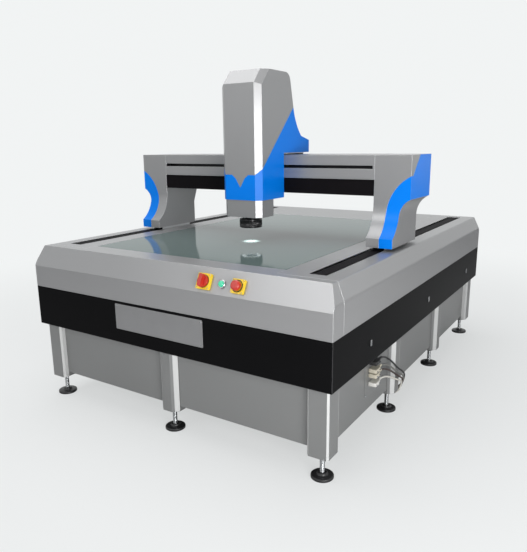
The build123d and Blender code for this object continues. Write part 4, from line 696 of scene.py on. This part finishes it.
# Connectors: a painted plate in the right side with four moulded plug hoods, each held by two thumb screws.
# The hoods are black, beige and white plastic, and a ribbed boot guards each lead where it leaves.
HOOD_X, HOOD_Y, HOOD_HALF_H, LEAD_X = (0.754, 0.790), (-0.619, -0.559), 0.0089, 0.77488
BOOT_R, BOOT_NARROWS, BOOT_RIB, BOOT_RIBS, BOOT_L, BOOT_SINK = 0.0068, 0.0022, 0.0007, 7, 0.030, 0.0005
THUMB_Y, THUMB_SIDES, THUMB_SINK, KNURL = (-0.612, -0.584), 40, 0.001, 0.12
SOCKET_FACE, SOCKET_Y, SOCKET_Z, SOCKET_REACH, SOCKET_SCREW_R = 0.754, -0.589, 0.276, (0.053, 0.081), 0.0035
dress(grey_satin, "connector_plate")
hood_beige = finish_material("hood_beige", (0.56, 0.52, 0.42), 0.5, shade=0.1, patch=40)
hood_black = finish_material("hood_black", (0.018, 0.018, 0.019), 0.5, shade=0.2, patch=40, edge_wear_and_highlight=(0.06, 0.06, 0.06))
hood_white = finish_material("hood_white", (0.70, 0.69, 0.65), 0.45, shade=0.08, patch=40)
dress(hood_beige, "cable_hoods")
hood_z = (0.335, 0.300, 0.278, 0.240)
hood_looks = {"hood_upper": hood_black, "hood_second": hood_beige, "hood_third": hood_beige,
              "hood_lower": hood_white}


def hood_shell(z):
    """A plug hood: a squarish superellipse section carried along y, drawn in towards the lead and at both ends."""
    along = np.array([0.0, 0.0, 0.015, 0.05, 0.12, 0.30, 0.62, 0.74, 0.86, 0.95, 0.99, 1.0, 1.0])
    wide = np.array([0.0, 0.90, 0.96, 0.99, 1.0, 1.0, 1.0, 0.93, 0.78, 0.66, 0.60, 0.56, 0.0])
    tall = np.array([0.0, 0.90, 0.96, 0.99, 1.0, 1.0, 1.0, 0.98, 0.94, 0.92, 0.88, 0.84, 0.0])
    a = np.linspace(0, 2 * np.pi, 48, endpoint=False)
    cx, cz = (np.sign(wave) * np.abs(wave) ** 0.3 for wave in (np.cos(a), np.sin(a)))
    half = (HOOD_X[1] - HOOD_X[0]) / 2
    x = HOOD_X[0] + half + wide[:, None] * half * cx
    y = HOOD_Y[0] + along[:, None] * (HOOD_Y[1] - HOOD_Y[0]) + 0 * a
    points = np.stack([x, y, z + tall[:, None] * HOOD_HALF_H * cz], axis=-1)
    return points, grid_faces(len(along), len(a), wrap_columns=True)[:, ::-1]


def lead_boot(z):
    """A strain relief: a cone along y that narrows evenly, with grooves as the upper half of a cosine."""
    t = np.linspace(0, 1, 61)
    r = BOOT_R - BOOT_NARROWS * t - BOOT_RIB * np.clip(np.cos(2 * np.pi * BOOT_RIBS * t), 0, 1) * (1 - t)
    y = HOOD_Y[1] - BOOT_SINK + BOOT_L * t
    profile = np.vstack([[(0.0, y[0])], np.c_[r, y], [(0.0, y[-1])]])
    return lathe(profile, 32, (LEAD_X, 0, z), (0, 1, 0), (1, 0, 0))


def thumb_screw(y, z):
    """A thumb screw on a hood's outer face: a knob turned along x, every second side of its rim drawn in."""
    knob = [(0.0, 0.0), (0.0021, 0.0), (0.0021, 0.0020), (0.0026, 0.0024), (0.0026, 0.0058), (0.0022, 0.0064),
            (0.0, 0.0064)]
    points, quads = lathe(knob, THUMB_SIDES, (HOOD_X[1] - THUMB_SINK, y, z), (1, 0, 0), (0, 1, 0))
    rim = np.array([0, 0, 0, 1, 1, 0, 0])[:, None, None]
    pinch = 1 - KNURL * (np.arange(THUMB_SIDES) % 2)[None, :, None] * rim
    middle = np.array((y, z))
    points[..., 1:] = middle + (points[..., 1:] - middle) * pinch
    return points, quads


for (name, look), z in zip(hood_looks.items(), hood_z):
    add_piece(name, *gather([hood_shell(z), lead_boot(z)]), look, "base", "beige_plastic", ["cable_hoods"])
knobs = [thumb_screw(y, z) for z in hood_z for y in THUMB_Y]
add_piece("thumb_screws", *gather(knobs), bright_zinc, "base", "zinc")
reach_y, reach_z = SOCKET_REACH
screw_places = [(SOCKET_FACE, SOCKET_Y + sy * reach_y, SOCKET_Z + sz * reach_z) for sy, sz in corners]
plate_screws = [screw_head(place, (1, 0, 0), SOCKET_SCREW_R) for place in screw_places]
add_piece("connector_screws", *gather(plate_screws), bright_zinc, "base", "zinc")

# Cables: four round leads in plastic sheaths of black, grey, brown and white, which leave the hoods on the right,
# pass outside the post, drop below the panel and rise into the control box.
CABLE_D = 0.008
PASS_X, BOX_X, BOX_LOW, BOX_IN = 0.795, 0.590, 0.170, 0.247
CABLE_RUNS = {"cable_upper": 0.730, "cable_second": 0.708, "cable_third": 0.694, "cable_lower": 0.674}
sheath_black = finish_material("sheath_black", (0.012, 0.012, 0.013), 0.45, shade=0.3, patch=60)
sheath_brown = finish_material("sheath_brown", (0.045, 0.026, 0.022), 0.45, shade=0.3, patch=60)
sheath_grey = finish_material("sheath_grey", (0.16, 0.16, 0.15), 0.45, shade=0.3, patch=60)
sheath_white = finish_material("sheath_white", (0.62, 0.60, 0.55), 0.45, shade=0.1, patch=60)


def cable_route(lane):
    """The bend points of one lead, as the part's source places them, in metres; each lane lies below the last."""
    z = hood_z[lane]
    pass_y, pass_z = -0.309 - 0.008 * lane, 0.200 - 0.014 * lane
    drop_y, low = -0.247 - 0.013 * lane, 0.136 - 0.006 * lane
    return np.array([
        (LEAD_X, HOOD_Y[1], z),
        (LEAD_X, -0.51174, z),
        (0.7865, -0.44224, z - 0.3 * (z - pass_z)),
        (PASS_X, -0.3783, z - 0.72 * (z - pass_z)),
        (PASS_X, pass_y, pass_z),
        (0.790, drop_y, low + 0.019),
        (0.770, drop_y + 0.005, low - 0.048),
        (0.700, drop_y, low - 0.064),
        (0.630, drop_y, low - 0.041),
        (BOX_X, drop_y, BOX_LOW),
        (BOX_X, drop_y, BOX_IN),
    ])


sheaths = (sheath_black, sheath_grey, sheath_brown, sheath_white)
for lane, (name, length) in enumerate(CABLE_RUNS.items()):
    points = cable_route(lane)
    line = bpy.data.curves.new(name + "_sheath", "CURVE")
    line.dimensions = "3D"
    line.bevel_depth = CABLE_D / 2
    line.bevel_resolution = 6
    line.resolution_u = 12
    spline = line.splines.new("NURBS")
    spline.points.add(len(points) - 1)
    spline.points.foreach_set("co", np.c_[points, np.ones(len(points))].ravel())
    spline.order_u = 3
    spline.use_endpoint_u = True
    lead = bpy.data.objects.new(name + "_sheath", line)
    scene.collection.objects.link(lead)
    line.materials.append(sheaths[lane])
    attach(lead, "base")
    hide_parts(name)
